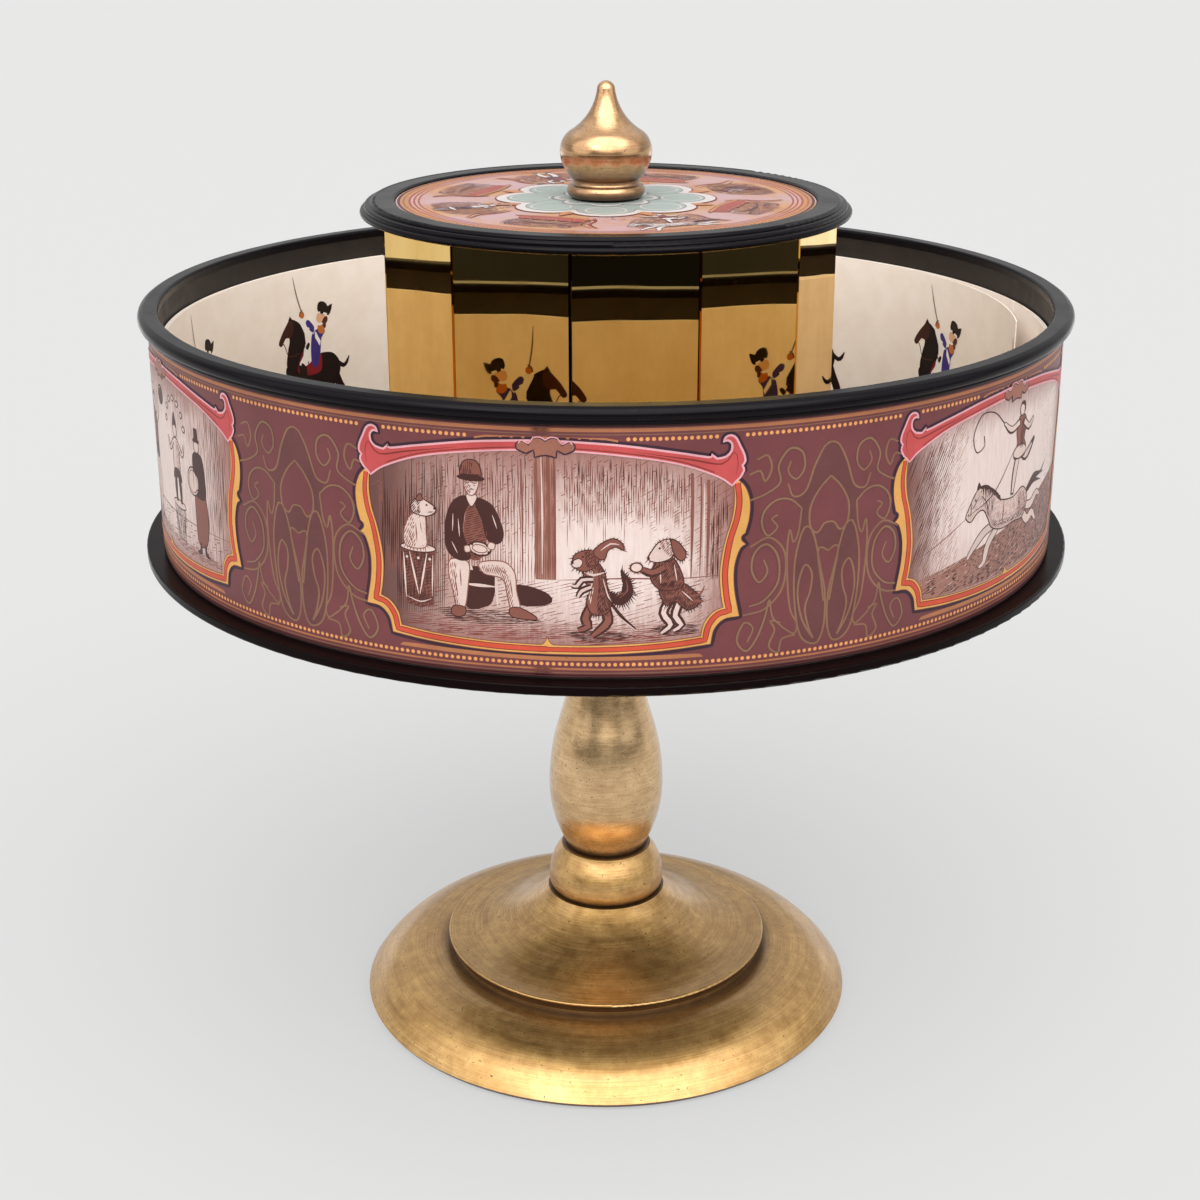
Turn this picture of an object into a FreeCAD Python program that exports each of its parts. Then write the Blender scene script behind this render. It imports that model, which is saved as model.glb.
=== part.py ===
import FreeCAD, Part

# A tabletop praxinoscope: an open drum of picture strips turns on a brass lamp-style stand, round a
# twelve-sided prism of mirrors. Millimetres, +Z up, origin on the axis where the felt meets the table.

import math
import os

import Sketcher
from FreeCAD import Rotation, Vector

DIMENSIONS = [
    # foot
    ("felt_radius", 82.0),
    ("felt_thickness", 1.8),
    ("cover_radius", 84.0),
    ("cover_thickness", 1.5),
    ("dish_radius", 87.4),
    ("dish_lip_height", 2.4),
    ("dish_crest_radius", 57.5),
    ("dish_top", 17.0),
    ("dish_curve", 31.0),
    ("shell_thickness", 2.0),
    ("crown_radius", 57.6),
    ("crown_lip_height", 21.8),
    ("crown_neck_radius", 21.0),
    ("crown_top", 39.0),
    ("ballast_radius", 66.0),
    ("ballast_bottom", 8.0),
    # column
    ("rod_radius", 5.0),
    ("rod_bore_radius", 5.2),
    ("rod_top", 160.0),
    ("lock_nut_width", 17.0),
    ("lock_nut_height", 3.0),
    ("clamp_washer_radius", 11.0),
    ("collar_radius", 20.5),
    ("collar_top", 56.0),
    ("belly_radius", 20.3),
    ("belly_height", 80.0),
    ("waist_radius", 11.4),
    ("waist_height", 138.0),
    ("stem_top", 150.0),
    ("seat_radius", 26.0),
    ("seat_top", 166.0),
    # bearing
    ("spindle_radius", 4.0),
    ("spindle_shoulder", 200.4),
    ("spindle_thread_radius", 3.0),
    ("spindle_top", 210.0),
    ("race_inner_radius", 7.0),
    ("race_outer_radius", 14.0),
    ("race_thickness", 1.5),
    ("ball_radius", 1.5),
    ("ball_circle_radius", 10.5),
    ("ball_count", 9),
    ("running_clearance", 0.05),
    ("bush_radius", 6.0),
    ("bush_length", 10.0),
    ("hub_flange_radius", 30.0),
    ("hub_boss_radius", 11.8),
    ("hub_top", 200.0),
    ("screw_circle_radius", 22.0),
    ("screw_radius", 2.0),
    ("screw_head_radius", 3.9),
    ("screw_head_height", 2.4),
    ("screw_nut_width", 7.0),
    ("screw_nut_height", 3.2),
    ("screw_count", 4),
    ("retaining_washer_radius", 9.0),
    ("retaining_nut_width", 10.0),
    ("retaining_nut_height", 5.0),
    # drum
    ("platter_radius", 153.6),
    ("platter_bottom", 177.0),
    ("platter_top", 180.2),
    ("platter_edge_round", 0.9),
    ("wall_outer_radius", 147.8),
    ("wall_inner_radius", 145.0),
    ("wall_top", 254.6),
    ("label_thickness", 0.2),
    ("label_bottom", 180.8),
    ("label_top", 252.2),
    ("rim_radius", 151.3),
    ("rim_inner_radius", 144.5),
    ("rim_top", 257.5),
    # mirror prism
    ("mirror_count", 12),
    ("mirror_face_distance", 72.25),
    ("mirror_thickness", 2.0),
    ("mirror_width", 37.6),
    ("mirror_top", 282.7),
    ("first_mirror_angle", 6.9),
    ("core_bore_radius", 60.0),
    ("core_top", 275.0),
    ("cap_radius", 69.8),
    ("cap_top", 283.0),
    ("stud_radius", 3.0),
    ("stud_bottom", 266.0),
    ("stud_top", 296.0),
    ("stud_nut_width", 10.0),
    ("stud_nut_height", 4.0),
    # lid and finial
    ("lid_radius", 79.6),
    ("lid_lip_radius", 74.4),
    ("lid_lip_height", 5.2),
    ("lid_panel_radius", 68.2),
    ("lid_panel_height", 4.2),
    ("lid_label_radius", 67.8),
    ("lid_bore_radius", 3.2),
    ("finial_washer_radius", 9.5),
    ("finial_washer_height", 1.0),
    ("finial_bead_radius", 13.0),
    ("finial_bulb_radius", 14.85),
    ("finial_height", 36.3),
    ("finial_tip_radius", 2.95),
    ("finial_bore_radius", 3.1),
    ("finial_bore_depth", 9.6),
    # picture strips
    ("card_thickness", 0.3),
    ("card_bottom", 180.5),
    ("card_height", 66.8),
    ("picture_card_radius", 142.9),
    ("spare_card_radius", 143.45),
    ("back_card_radius", 143.95),
    ("picture_card_start", 141.0),
    ("picture_card_sweep", 312.0),
    ("picture_tail_radius", 125.0),
    ("picture_tail_sweep", 58.0),
    ("spare_card_start", 102.0),
    ("back_card_start", 300.0),
    ("card_sweep", 356.0),
]


class Size:
    """A length that carries its value together with the sheet expression that gives it."""

    def __init__(self, value, text):
        self.value = value
        self.text = text

    def joined(self, sign, other, value):
        text = other.text if isinstance(other, Size) else repr(other)
        return Size(value, f"({self.text} {sign} {text})")

    def __add__(self, other):
        return self.joined("+", other, self.value + number(other))

    def __sub__(self, other):
        return self.joined("-", other, self.value - number(other))

    def __mul__(self, other):
        return self.joined("*", other, self.value * number(other))


def number(size):
    """The plain value of a Size or of a number."""
    return size.value if isinstance(size, Size) else size


def expression(size):
    return size.text if isinstance(size, Size) else repr(size)


doc = FreeCAD.newDocument("praxinoscope")
sheet = doc.addObject("Spreadsheet::Sheet", "Dims")
for row, (alias, value) in enumerate(DIMENSIONS, start=1):
    sheet.set(f"A{row}", alias)
    sheet.set(f"B{row}", str(value))
    sheet.setAlias(f"B{row}", alias)
doc.recompute()

SIZES = {alias: Size(float(sheet.get(alias)), f"Dims.{alias}") for alias, _ in DIMENSIONS}
pieces = []


def dim(alias):
    return SIZES[alias]


# ---- helpers ----------------------------------------------------------------------------------


def origin_plane(body, role):
    return next(feature for feature in body.Origin.OriginFeatures if feature.Role == role)


def new_body(name, bottom):
    """An empty PartDesign body standing at a height bound to the sheet."""
    body = doc.addObject("PartDesign::Body", name)
    body.Label = name
    body.setExpression("Placement.Base.z", expression(bottom))
    pieces.append(body)
    return body


def new_sketch(body, name, role):
    sketch = body.newObject("Sketcher::SketchObject", name)
    sketch.AttachmentSupport = (origin_plane(body, role), [""])
    sketch.MapMode = "FlatFace"
    return sketch


def bind(sketch, kind, *references, size):
    """Adds a dimensional constraint and ties it to its sheet expression."""
    index = sketch.addConstraint(Sketcher.Constraint(kind, *references, number(size)))
    if isinstance(size, Size):
        sketch.setExpression(f"Constraints[{index}]", size.text)


def arc_through(start, end, radius):
    """The arc from start to end: a positive radius turns left along the way, a negative one right."""
    chord = end - start
    middle = (start + end) * 0.5
    left = Vector(-chord.y, chord.x, 0).normalize()
    reach = math.sqrt(radius**2 - (chord.Length / 2) ** 2)
    centre = middle + left * (reach if radius > 0 else -reach)
    turn = [math.atan2(point.y - centre.y, point.x - centre.x) for point in (start, end)]
    first, last = turn if radius > 0 else reversed(turn)
    circle = Part.Circle(centre, Vector(0, 0, 1), abs(radius))
    return Part.ArcOfCircle(circle, first, last)


def pin_point(sketch, edge, end, radius, height):
    """Fixes one end of an edge at a radius and a height, on an axis where the value is zero."""
    for kind, axis, size in (("DistanceX", -2, radius), ("DistanceY", -1, height)):
        if number(size) == 0:
            sketch.addConstraint(Sketcher.Constraint("PointOnObject", edge, end, axis))
        else:
            bind(sketch, kind, -1, 1, edge, end, size=size)


def turned(name, bottom, corners):
    """A body turned about Z. Each corner is (radius, height) and, where the edge after it is an arc,
    the arc's radius: positive for an arc that turns left along the outline, negative for right."""
    body = new_body(name, bottom)
    sketch = new_sketch(body, name + "_outline", "XZ_Plane")
    points = [Vector(number(corner[0]), number(corner[1]), 0) for corner in corners]
    count = len(corners)
    starts = []
    for index, corner in enumerate(corners):
        start, end = points[index], points[(index + 1) % count]
        if len(corner) == 3:
            edge = sketch.addGeometry(arc_through(start, end, number(corner[2])), False)
            starts.append((edge, 1, 2) if number(corner[2]) > 0 else (edge, 2, 1))
        else:
            edge = sketch.addGeometry(Part.LineSegment(start, end), False)
            starts.append((edge, 1, 2))
    for index in range(count):
        here, after = starts[index], starts[(index + 1) % count]
        sketch.addConstraint(Sketcher.Constraint("Coincident", here[0], here[2], after[0], after[1]))
    for (edge, start, _), corner in zip(starts, corners):
        pin_point(sketch, edge, start, corner[0], corner[1])
        if len(corner) == 3:
            arc = corner[2]
            size = arc if number(arc) > 0 else arc * -1
            bind(sketch, "Radius", edge, size=size)
    turn = body.newObject("PartDesign::Revolution", name + "_turn")
    turn.Profile = sketch
    turn.ReferenceAxis = (sketch, ["V_Axis"])
    turn.Angle = 360
    doc.recompute()
    return body


def ring(name, bottom, height, outer, inner=None):
    """A flat disc or washer: circles on the XY plane, padded."""
    body = new_body(name, bottom)
    sketch = new_sketch(body, name + "_circles", "XY_Plane")
    for radius in (outer, inner):
        if radius is None:
            continue
        edge = sketch.addGeometry(Part.Circle(Vector(), Vector(0, 0, 1), number(radius)), False)
        sketch.addConstraint(Sketcher.Constraint("Coincident", edge, 3, -1, 1))
        bind(sketch, "Radius", edge, size=radius)
    pad(body, sketch, height)
    return body


def pad(body, sketch, height):
    feature = body.newObject("PartDesign::Pad", body.Name + "_pad")
    feature.Profile = sketch
    feature.Length = number(height)
    feature.setExpression("Length", expression(height))
    doc.recompute()
    return feature


def hole_circle(body, radius, circle_radius, count):
    """Cuts one round hole right through the body, then repeats it round the axis."""
    before = body.Shape.Volume
    sketch = new_sketch(body, body.Name + "_hole", "XY_Plane")
    centre = Vector(number(circle_radius), 0, 0)
    edge = sketch.addGeometry(Part.Circle(centre, Vector(0, 0, 1), number(radius)), False)
    sketch.addConstraint(Sketcher.Constraint("PointOnObject", edge, 3, -1))
    bind(sketch, "DistanceX", -1, 1, edge, 3, size=circle_radius)
    bind(sketch, "Radius", edge, size=radius)
    pocket = body.newObject("PartDesign::Pocket", body.Name + "_drilling")
    pocket.Profile = sketch
    pocket.Type = "ThroughAll"
    pocket.Midplane = True
    pattern = body.newObject("PartDesign::PolarPattern", body.Name + "_circle")
    pattern.Originals = [pocket]
    pattern.Axis = (sketch, ["N_Axis"])
    pattern.Angle = 360
    pattern.Occurrences = int(number(count))
    pattern.setExpression("Occurrences", expression(count))
    body.Tip = pattern
    doc.recompute()
    if body.Shape.Volume >= before:
        raise RuntimeError(f"{body.Name}: the holes cut nothing")


def hexagon_nut(name, bottom, height, width, bore):
    """A plain hexagon nut: six corners in a sketch, one side's distance bound, and a bore."""
    body = new_body(name, bottom)
    sketch = new_sketch(body, name + "_outline", "XY_Plane")
    reach = number(width) / math.sqrt(3)
    corners = [Vector(reach, 0, 0)]
    for turn in range(1, 6):
        corners.append(Rotation(Vector(0, 0, 1), 60 * turn).multVec(corners[0]))
    for index in range(6):
        sketch.addGeometry(Part.LineSegment(corners[index], corners[(index + 1) % 6]), False)
    for index in range(6):
        sketch.addConstraint(Sketcher.Constraint("Coincident", index, 2, (index + 1) % 6, 1))
        if index:
            sketch.addConstraint(Sketcher.Constraint("Equal", 0, index))
    guide = sketch.addGeometry(Part.Circle(Vector(), Vector(0, 0, 1), reach), True)
    sketch.addConstraint(Sketcher.Constraint("Coincident", guide, 3, -1, 1))
    for index in range(6):
        sketch.addConstraint(Sketcher.Constraint("PointOnObject", index, 1, guide))
    sketch.addConstraint(Sketcher.Constraint("PointOnObject", 0, 1, -1))
    bind(sketch, "Radius", guide, size=width * (1 / math.sqrt(3)))
    edge = sketch.addGeometry(Part.Circle(Vector(), Vector(0, 0, 1), number(bore)), False)
    sketch.addConstraint(Sketcher.Constraint("Coincident", edge, 3, -1, 1))
    bind(sketch, "Radius", edge, size=bore)
    pad(body, sketch, height)
    return body


def shape_piece(name, shape, bottom=0.0):
    """A sub-part whose shape is worked out here from the sheet's numbers."""
    piece = doc.addObject("Part::Feature", name)
    piece.Shape = shape
    piece.Label = name
    piece.Placement = FreeCAD.Placement(Vector(0, 0, number(bottom)), Rotation())
    pieces.append(piece)
    return piece


# ---- foot ---------------------------------------------------------------------------------------


def make_foot():
    bore = dim("rod_bore_radius")
    shell = dim("shell_thickness")
    ring("felt_pad", 0.0, dim("felt_thickness"), dim("felt_radius"))
    ring("bottom_cover", dim("felt_thickness"), dim("cover_thickness"), dim("cover_radius"))

    # A spun dish: a thin turned lip, a cushion-shaped shoulder and a flat seat for the crown.
    lip = dim("dish_radius")
    crest = dim("dish_crest_radius")
    top = dim("dish_top")
    curve = dim("dish_curve")
    turned(
        "base_dish",
        0.0,
        [
            (lip - 0.9, 1.0),
            (lip, dim("dish_lip_height"), curve),
            (crest, top),
            (bore, top),
            (bore, top - shell),
            (crest - 1.0, top - shell, (curve - shell) * -1),
            (lip - 3.1, 4.0),
            (lip - 3.1, 1.0),
        ],
    )

    # The crown: a sharp lip over a short cove, then a hollow bell that rises to the collar.
    edge = dim("crown_radius")
    neck = dim("crown_neck_radius")
    peak = dim("crown_top")
    rise = dim("crown_lip_height")
    turned(
        "base_crown",
        0.0,
        [
            (edge - 1.4, top),
            (edge - 1.4, top + 1.6, -7.0),
            (edge, rise - 0.3, 0.6),
            (edge - 0.6, rise + 0.5, -47.0),
            (neck, peak),
            (bore, peak),
            (bore, peak - shell),
            (neck - 1.6, peak - shell, 49.0),
            (edge - 3.8, rise - 1.6),
            (edge - 3.8, top),
        ],
    )

    weight = dim("ballast_radius")
    under = dim("ballast_bottom")
    turned(
        "ballast_weight",
        0.0,
        [
            (weight, under),
            (weight, under + 2.2),
            (weight - 18, top - shell),
            (bore, top - shell),
            (bore, under),
        ],
    )


# ---- column -------------------------------------------------------------------------------------


def make_column():
    bore = dim("rod_bore_radius")
    rod = dim("rod_radius")
    nut_bottom = dim("felt_thickness") + dim("cover_thickness") + 0.2
    nut_top = nut_bottom + dim("lock_nut_height")
    hexagon_nut("tie_rod_nut", nut_bottom, dim("lock_nut_height"), dim("lock_nut_width"), rod)
    ring("tie_rod_washer", nut_top, dim("ballast_bottom") - nut_top, dim("clamp_washer_radius"), bore)
    ring("tie_rod", nut_bottom, dim("rod_top") - nut_bottom, rod)

    collar = dim("collar_radius")
    foot = dim("crown_top")
    top = dim("collar_top")
    turned(
        "collar_ring",
        0.0,
        [
            (bore, foot),
            (collar - 1.3, foot, 6.0),
            (collar, foot + 4.5, 19.0),
            (collar - 4.5, top - 0.2),
            (collar - 5.3, top),
            (bore, top),
        ],
    )

    # The baluster: one arc swells to the belly, a longer one leaves it, and a hollow one draws in to
    # the waist before the column flares out again to carry the bearing seat.
    belly = dim("belly_radius")
    middle = dim("belly_height")
    waist = dim("waist_radius")
    narrow = dim("waist_height")
    crown = dim("stem_top")
    turned(
        "stem",
        0.0,
        [
            (bore, top),
            (belly - 6.6, top),
            (belly - 6.0, top + 1.0, 47.0),
            (belly, middle, 84.5),
            (belly - 3.9, middle + 25.3, -109.0),
            (waist, narrow, -30.0),
            (waist + 2.6, crown),
            (bore, crown),
        ],
    )

    # The bearing seat screws on to the tie rod, draws the column together and grips the spindle.
    seat = dim("seat_radius")
    table = dim("seat_top")
    spindle = dim("spindle_radius")
    turned(
        "bearing_seat",
        0.0,
        [
            (rod, crown),
            (waist + 3.2, crown, 1.4),
            (waist + 3.2, crown + 2.4),
            (waist + 2.4, crown + 3.2, -13.0),
            (seat - 0.6, table - 2.6),
            (seat, table - 2.0),
            (seat, table - 0.4),
            (seat - 0.4, table),
            (spindle, table),
            (spindle, dim("rod_top")),
            (rod, dim("rod_top")),
        ],
    )


# ---- bearing --------------------------------------------------------------------------------------


def bearing_heights():
    """Heights of the thrust bearing's faces, from the seat up."""
    lower_race = dim("seat_top")
    balls = lower_race + dim("race_thickness")
    upper_race = balls + dim("ball_radius") * 2 + dim("running_clearance")
    flange = upper_race + dim("race_thickness")
    return lower_race, balls, upper_race, flange


def make_bearing():
    lower_race, balls, upper_race, flange = bearing_heights()
    inner = dim("race_inner_radius")
    outer = dim("race_outer_radius")
    race = dim("race_thickness")
    spindle = dim("spindle_radius")
    thread = dim("spindle_thread_radius")
    shoulder = dim("spindle_shoulder")
    ring("lower_race", lower_race, race, outer, inner)
    ring("upper_race", upper_race, race, outer, inner)

    ball = dim("ball_radius")
    circle = dim("ball_circle_radius")
    cage = ring("ball_cage", balls + ball * 0.6, ball * 0.8, outer - 0.6, inner + 0.6)
    hole_circle(cage, ball + 0.1, circle, dim("ball_count"))
    sphere = Part.makeSphere(number(ball), Vector(number(circle), 0, number(ball)))
    turns = [360 / number(dim("ball_count")) * step for step in range(int(number(dim("ball_count"))))]
    spheres = [sphere.rotated(Vector(), Vector(0, 0, 1), turn) for turn in turns]
    shape_piece("bearing_balls", Part.makeCompound(spheres), balls)

    turned(
        "spindle",
        dim("rod_top"),
        [
            (0.0, 0.0),
            (spindle, 0.0),
            (spindle, shoulder - dim("rod_top")),
            (thread, shoulder - dim("rod_top")),
            (thread, dim("spindle_top") - dim("rod_top") - 0.8),
            (thread - 0.8, dim("spindle_top") - dim("rod_top")),
            (0.0, dim("spindle_top") - dim("rod_top")),
        ],
    )

    # The hub: a flange under the platter and a boss that reaches up inside the mirror prism.
    bush = dim("bush_radius")
    hub = turned(
        "hub",
        flange,
        [
            (bush, 0.0),
            (dim("hub_flange_radius") - 1.0, 0.0),
            (dim("hub_flange_radius"), 1.0),
            (dim("hub_flange_radius"), dim("platter_bottom") - flange),
            (dim("hub_boss_radius"), dim("platter_bottom") - flange),
            (dim("hub_boss_radius"), dim("hub_top") - flange - 1.0),
            (dim("hub_boss_radius") - 1.0, dim("hub_top") - flange),
            (bush, dim("hub_top") - flange),
        ],
    )
    hole_circle(hub, dim("screw_radius") + 0.1, dim("screw_circle_radius"), dim("screw_count"))
    sleeve = spindle + dim("running_clearance")
    ring("lower_bush", flange, dim("bush_length"), bush, sleeve)
    ring("upper_bush", dim("hub_top") - dim("bush_length"), dim("bush_length"), bush, sleeve)

    washer_top = shoulder + dim("race_thickness")
    ring("retaining_washer", shoulder, race, dim("retaining_washer_radius"), thread)
    hexagon_nut(
        "retaining_nut",
        washer_top,
        dim("retaining_nut_height"),
        dim("retaining_nut_width"),
        thread,
    )
    make_hub_fasteners(flange)


def make_hub_fasteners(flange):
    """Four pan-head screws up through the flange and the platter, each with a nut on top."""
    shank = number(dim("screw_radius"))
    head = number(dim("screw_head_radius"))
    depth = number(dim("screw_head_height"))
    circle = number(dim("screw_circle_radius"))
    floor = number(dim("platter_top"))
    nut_height = number(dim("screw_nut_height"))
    start = number(flange)
    count = int(number(dim("screw_count")))
    axis = Vector(0, 0, 1)

    pan = Part.makeCylinder(head, depth, Vector(circle, 0, start - depth))
    rims = [edge for edge in pan.Edges if edge.BoundBox.ZMax < start - depth + 0.01]
    pan = pan.makeFillet(0.8, rims)
    length = floor + nut_height + 0.6 - start
    screw = pan.fuse(Part.makeCylinder(shank, length, Vector(circle, 0, start)))
    slot = Part.makeBox(2 * head, 0.9, 0.8, Vector(circle - head, -0.45, start - depth))
    screw = screw.cut(slot)

    reach = number(dim("screw_nut_width")) / math.sqrt(3)
    corners = [Rotation(axis, 60 * turn).multVec(Vector(reach, 0, 0)) for turn in range(7)]
    outline = Part.Face(Part.makePolygon([corner + Vector(circle, 0, floor) for corner in corners]))
    nut = outline.extrude(Vector(0, 0, nut_height))
    nut = nut.cut(Part.makeCylinder(shank, nut_height, Vector(circle, 0, floor)))

    turns = [360 / count * step for step in range(count)]
    for name, solid in (("hub_screws", screw), ("hub_nuts", nut)):
        copies = [solid.rotated(Vector(), axis, turn) for turn in turns]
        shape_piece(name, Part.makeCompound(copies))


# ---- drum -----------------------------------------------------------------------------------------


def make_drum():
    bottom = dim("platter_bottom")
    floor = dim("platter_top")
    edge = dim("platter_radius")
    soft = dim("platter_edge_round")
    platter = turned(
        "platter",
        bottom,
        [
            (dim("hub_boss_radius") + 0.1, 0.0),
            (edge - soft, 0.0, soft * 1.2),
            (edge, soft),
            (edge, floor - bottom - 0.5, 0.6),
            (edge - 0.5, floor - bottom),
            (dim("hub_boss_radius") + 0.1, floor - bottom),
        ],
    )
    hole_circle(platter, dim("screw_radius") + 0.1, dim("screw_circle_radius"), dim("screw_count"))

    outside = dim("wall_outer_radius")
    ring("drum_wall", floor, dim("wall_top") - floor, outside, dim("wall_inner_radius"))
    label = outside + dim("label_thickness")
    ring("drum_label", dim("label_bottom"), dim("label_top") - dim("label_bottom"), label, outside)

    # The rim ring sits on the wall's top edge and laps over the label's: a round nosing, a small
    # groove under it and a second, narrower bead.
    nose = dim("rim_radius")
    inside = dim("rim_inner_radius")
    seat = dim("wall_top")
    top = dim("rim_top")
    lap = outside + dim("label_thickness") + 0.1
    turned(
        "rim_ring",
        0.0,
        [
            (lap, seat),
            (lap, seat - 2.3),
            (lap + 1.0, seat - 2.3, 0.75),
            (lap + 1.4, seat - 1.1),
            (nose - 1.0, seat - 0.9, 2.1),
            (nose - 1.6, top - 0.3),
            (nose - 2.2, top),
            (inside + 0.9, top, 0.9),
            (inside, top - 0.9),
            (inside, seat),
        ],
    )


def make_mirror_prism():
    count = int(number(dim("mirror_count")))
    step = 360 / count
    floor = dim("platter_top")
    first = number(dim("first_mirror_angle"))
    face = dim("mirror_face_distance")
    thickness = dim("mirror_thickness")
    width = dim("mirror_width")

    # The core is a turned ring with a many-sided outside; each mirror is glued to one flat.
    core = new_body("mirror_core", floor)
    outline = new_sketch(core, "mirror_core_outline", "XY_Plane")
    flat = face - thickness
    reach = number(flat) / math.cos(math.radians(step / 2))
    turns = [math.radians(-90 + first + step * (index + 0.5)) for index in range(count)]
    corners = [Vector(reach * math.cos(turn), reach * math.sin(turn), 0) for turn in turns]
    for index in range(count):
        outline.addGeometry(Part.LineSegment(corners[index], corners[(index + 1) % count]), False)
    guide = outline.addGeometry(Part.Circle(Vector(), Vector(0, 0, 1), reach), True)
    outline.addConstraint(Sketcher.Constraint("Coincident", guide, 3, -1, 1))
    for index in range(count):
        after = (index + 1) % count
        outline.addConstraint(Sketcher.Constraint("Coincident", index, 2, after, 1))
        outline.addConstraint(Sketcher.Constraint("PointOnObject", index, 1, guide))
        if index:
            outline.addConstraint(Sketcher.Constraint("Equal", 0, index))
    bind(outline, "DistanceX", -1, 1, 0, 1, size=corners[0].x)
    bind(outline, "Radius", guide, size=flat * (1 / math.cos(math.radians(step / 2))))
    bore_radius = number(dim("core_bore_radius"))
    bore = outline.addGeometry(Part.Circle(Vector(), Vector(0, 0, 1), bore_radius), False)
    outline.addConstraint(Sketcher.Constraint("Coincident", bore, 3, -1, 1))
    bind(outline, "Radius", bore, size=dim("core_bore_radius"))
    pad(core, outline, dim("core_top") - floor)

    for index in range(count):
        mirror = doc.addObject("Part::Box", f"mirror_{index + 1:02d}")
        mirror.Label = mirror.Name
        mirror.setExpression("Length", width.text)
        mirror.setExpression("Width", thickness.text)
        mirror.setExpression("Height", (dim("mirror_top") - floor).text)
        turn = Rotation(Vector(0, 0, 1), first + step * index)
        corner = turn.multVec(Vector(-number(width) / 2, -number(face), 0))
        mirror.Placement = FreeCAD.Placement(corner + Vector(0, 0, number(floor)), turn)
        pieces.append(mirror)

    shelf = dim("core_top")
    cap = dim("cap_top")
    stud = dim("stud_radius")
    ring("core_cap", shelf, cap - shelf, dim("cap_radius"), stud)
    hexagon_nut(
        "lid_stud_nut",
        shelf - dim("stud_nut_height"),
        dim("stud_nut_height"),
        dim("stud_nut_width"),
        stud,
    )
    length = dim("stud_top") - dim("stud_bottom")
    turned(
        "lid_stud",
        dim("stud_bottom"),
        [(0.0, 0.0), (stud, 0.0), (stud, length - 0.8), (stud - 0.8, length), (0.0, length)],
    )


# ---- lid and finial -----------------------------------------------------------------------------


def make_lid():
    bottom = dim("cap_top")
    bore = dim("lid_bore_radius")
    edge = dim("lid_radius")
    lip = dim("lid_lip_radius")
    high = dim("lid_lip_height")
    panel = dim("lid_panel_height")
    well = dim("lid_panel_radius")
    # The edge is a stack of beads that step inwards as they rise, with a fine groove between each.
    turned(
        "lid_disc",
        bottom,
        [
            (bore, 0.0),
            (edge - 3.6, 0.0, 9.0),
            (edge - 0.5, 0.9, 1.1),
            (edge - 0.9, 2.7),
            (edge - 1.6, 2.9),
            (edge - 1.6, 3.1, 0.9),
            (edge - 2.9, 4.1),
            (edge - 3.5, 4.2),
            (edge - 3.5, 4.4, 1.2),
            (lip, high),
            (well + 1.2, high, 1.3),
            (well, high - 0.6),
            (well, panel),
            (bore, panel),
        ],
    )
    label = dim("label_thickness")
    ring("lid_label", bottom + panel, label, dim("lid_label_radius"), bore)
    washer = dim("finial_washer_height")
    ring("finial_washer", bottom + panel + label, washer, dim("finial_washer_radius"), bore)

    # The finial: a bead, a tight neck, an onion bulb of two arcs and a hollow sweep to the tip.
    bead = dim("finial_bead_radius")
    bulb = dim("finial_bulb_radius")
    height = dim("finial_height")
    hole = dim("finial_bore_radius")
    depth = dim("finial_bore_depth")
    tip = dim("finial_tip_radius")
    slope = math.radians(80)
    turned(
        "finial",
        bottom + panel + label + washer,
        [
            (hole, 0.0),
            (bead - 1.4, 0.0, 2.3),
            (bead - 1.1, 3.6),
            (bead - 1.9, 4.0, -1.2),
            (bulb - 3.45, 6.0, 12.4),
            (bulb, 14.6, 7.3),
            (bulb - 3.65, height - 15.4, -17.65),
            (tip * math.sin(slope), height - tip * (1 - math.cos(slope)), tip),
            (0.0, height),
            (0.0, depth),
            (hole, depth),
        ],
    )


# ---- picture strips -----------------------------------------------------------------------------


def heading(degrees):
    """The unit vector at an azimuth counted from the front, -Y, round towards the right, +X."""
    angle = math.radians(degrees)
    return Vector(math.sin(angle), -math.cos(angle), 0)


def curved_card(centre, radius, start, sweep):
    """A slice of a thin upright cylinder, from one azimuth round by a sweep, standing on z = 0."""
    thickness = number(dim("card_thickness"))
    height = number(dim("card_height"))
    outer = [centre + heading(start + sweep * part) * (radius + thickness) for part in (0, 0.5, 1)]
    inner = [centre + heading(start + sweep * part) * radius for part in (1, 0.5, 0)]
    edges = [
        Part.Arc(*outer).toShape(),
        Part.LineSegment(outer[2], inner[0]).toShape(),
        Part.Arc(*inner).toShape(),
        Part.LineSegment(inner[2], outer[0]).toShape(),
    ]
    return Part.Face(Part.Wire(edges)).extrude(Vector(0, 0, height))


def make_strips():
    bottom = dim("card_bottom")
    sweep = number(dim("card_sweep"))
    spares = (
        ("spare_strip", "spare_card_radius", "spare_card_start"),
        ("back_strip", "back_card_radius", "back_card_start"),
    )
    for name, radius, start in spares:
        card = curved_card(Vector(), number(dim(radius)), number(dim(start)), sweep)
        shape_piece(name, card, bottom)

    # The front card lies against the others, but its last stretch springs inwards off the wall.
    radius = number(dim("picture_card_radius"))
    start = number(dim("picture_card_start"))
    tail_radius = number(dim("picture_tail_radius"))
    main = curved_card(Vector(), radius, start, number(dim("picture_card_sweep")))
    centre = heading(start) * (radius - tail_radius)
    tail = curved_card(centre, tail_radius, start, -number(dim("picture_tail_sweep")))
    shape_piece("picture_strip", main.fuse(tail).removeSplitter(), bottom)


# ---- build, check and write -----------------------------------------------------------------------


def check(piece):
    bad = {"Invalid", "Error"} & set(piece.State)
    if bad:
        raise RuntimeError(f"{piece.Label}: {sorted(bad)}")
    if piece.Shape.isNull() or not piece.Shape.isValid():
        raise RuntimeError(f"{piece.Label}: the shape is null or not valid")


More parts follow.
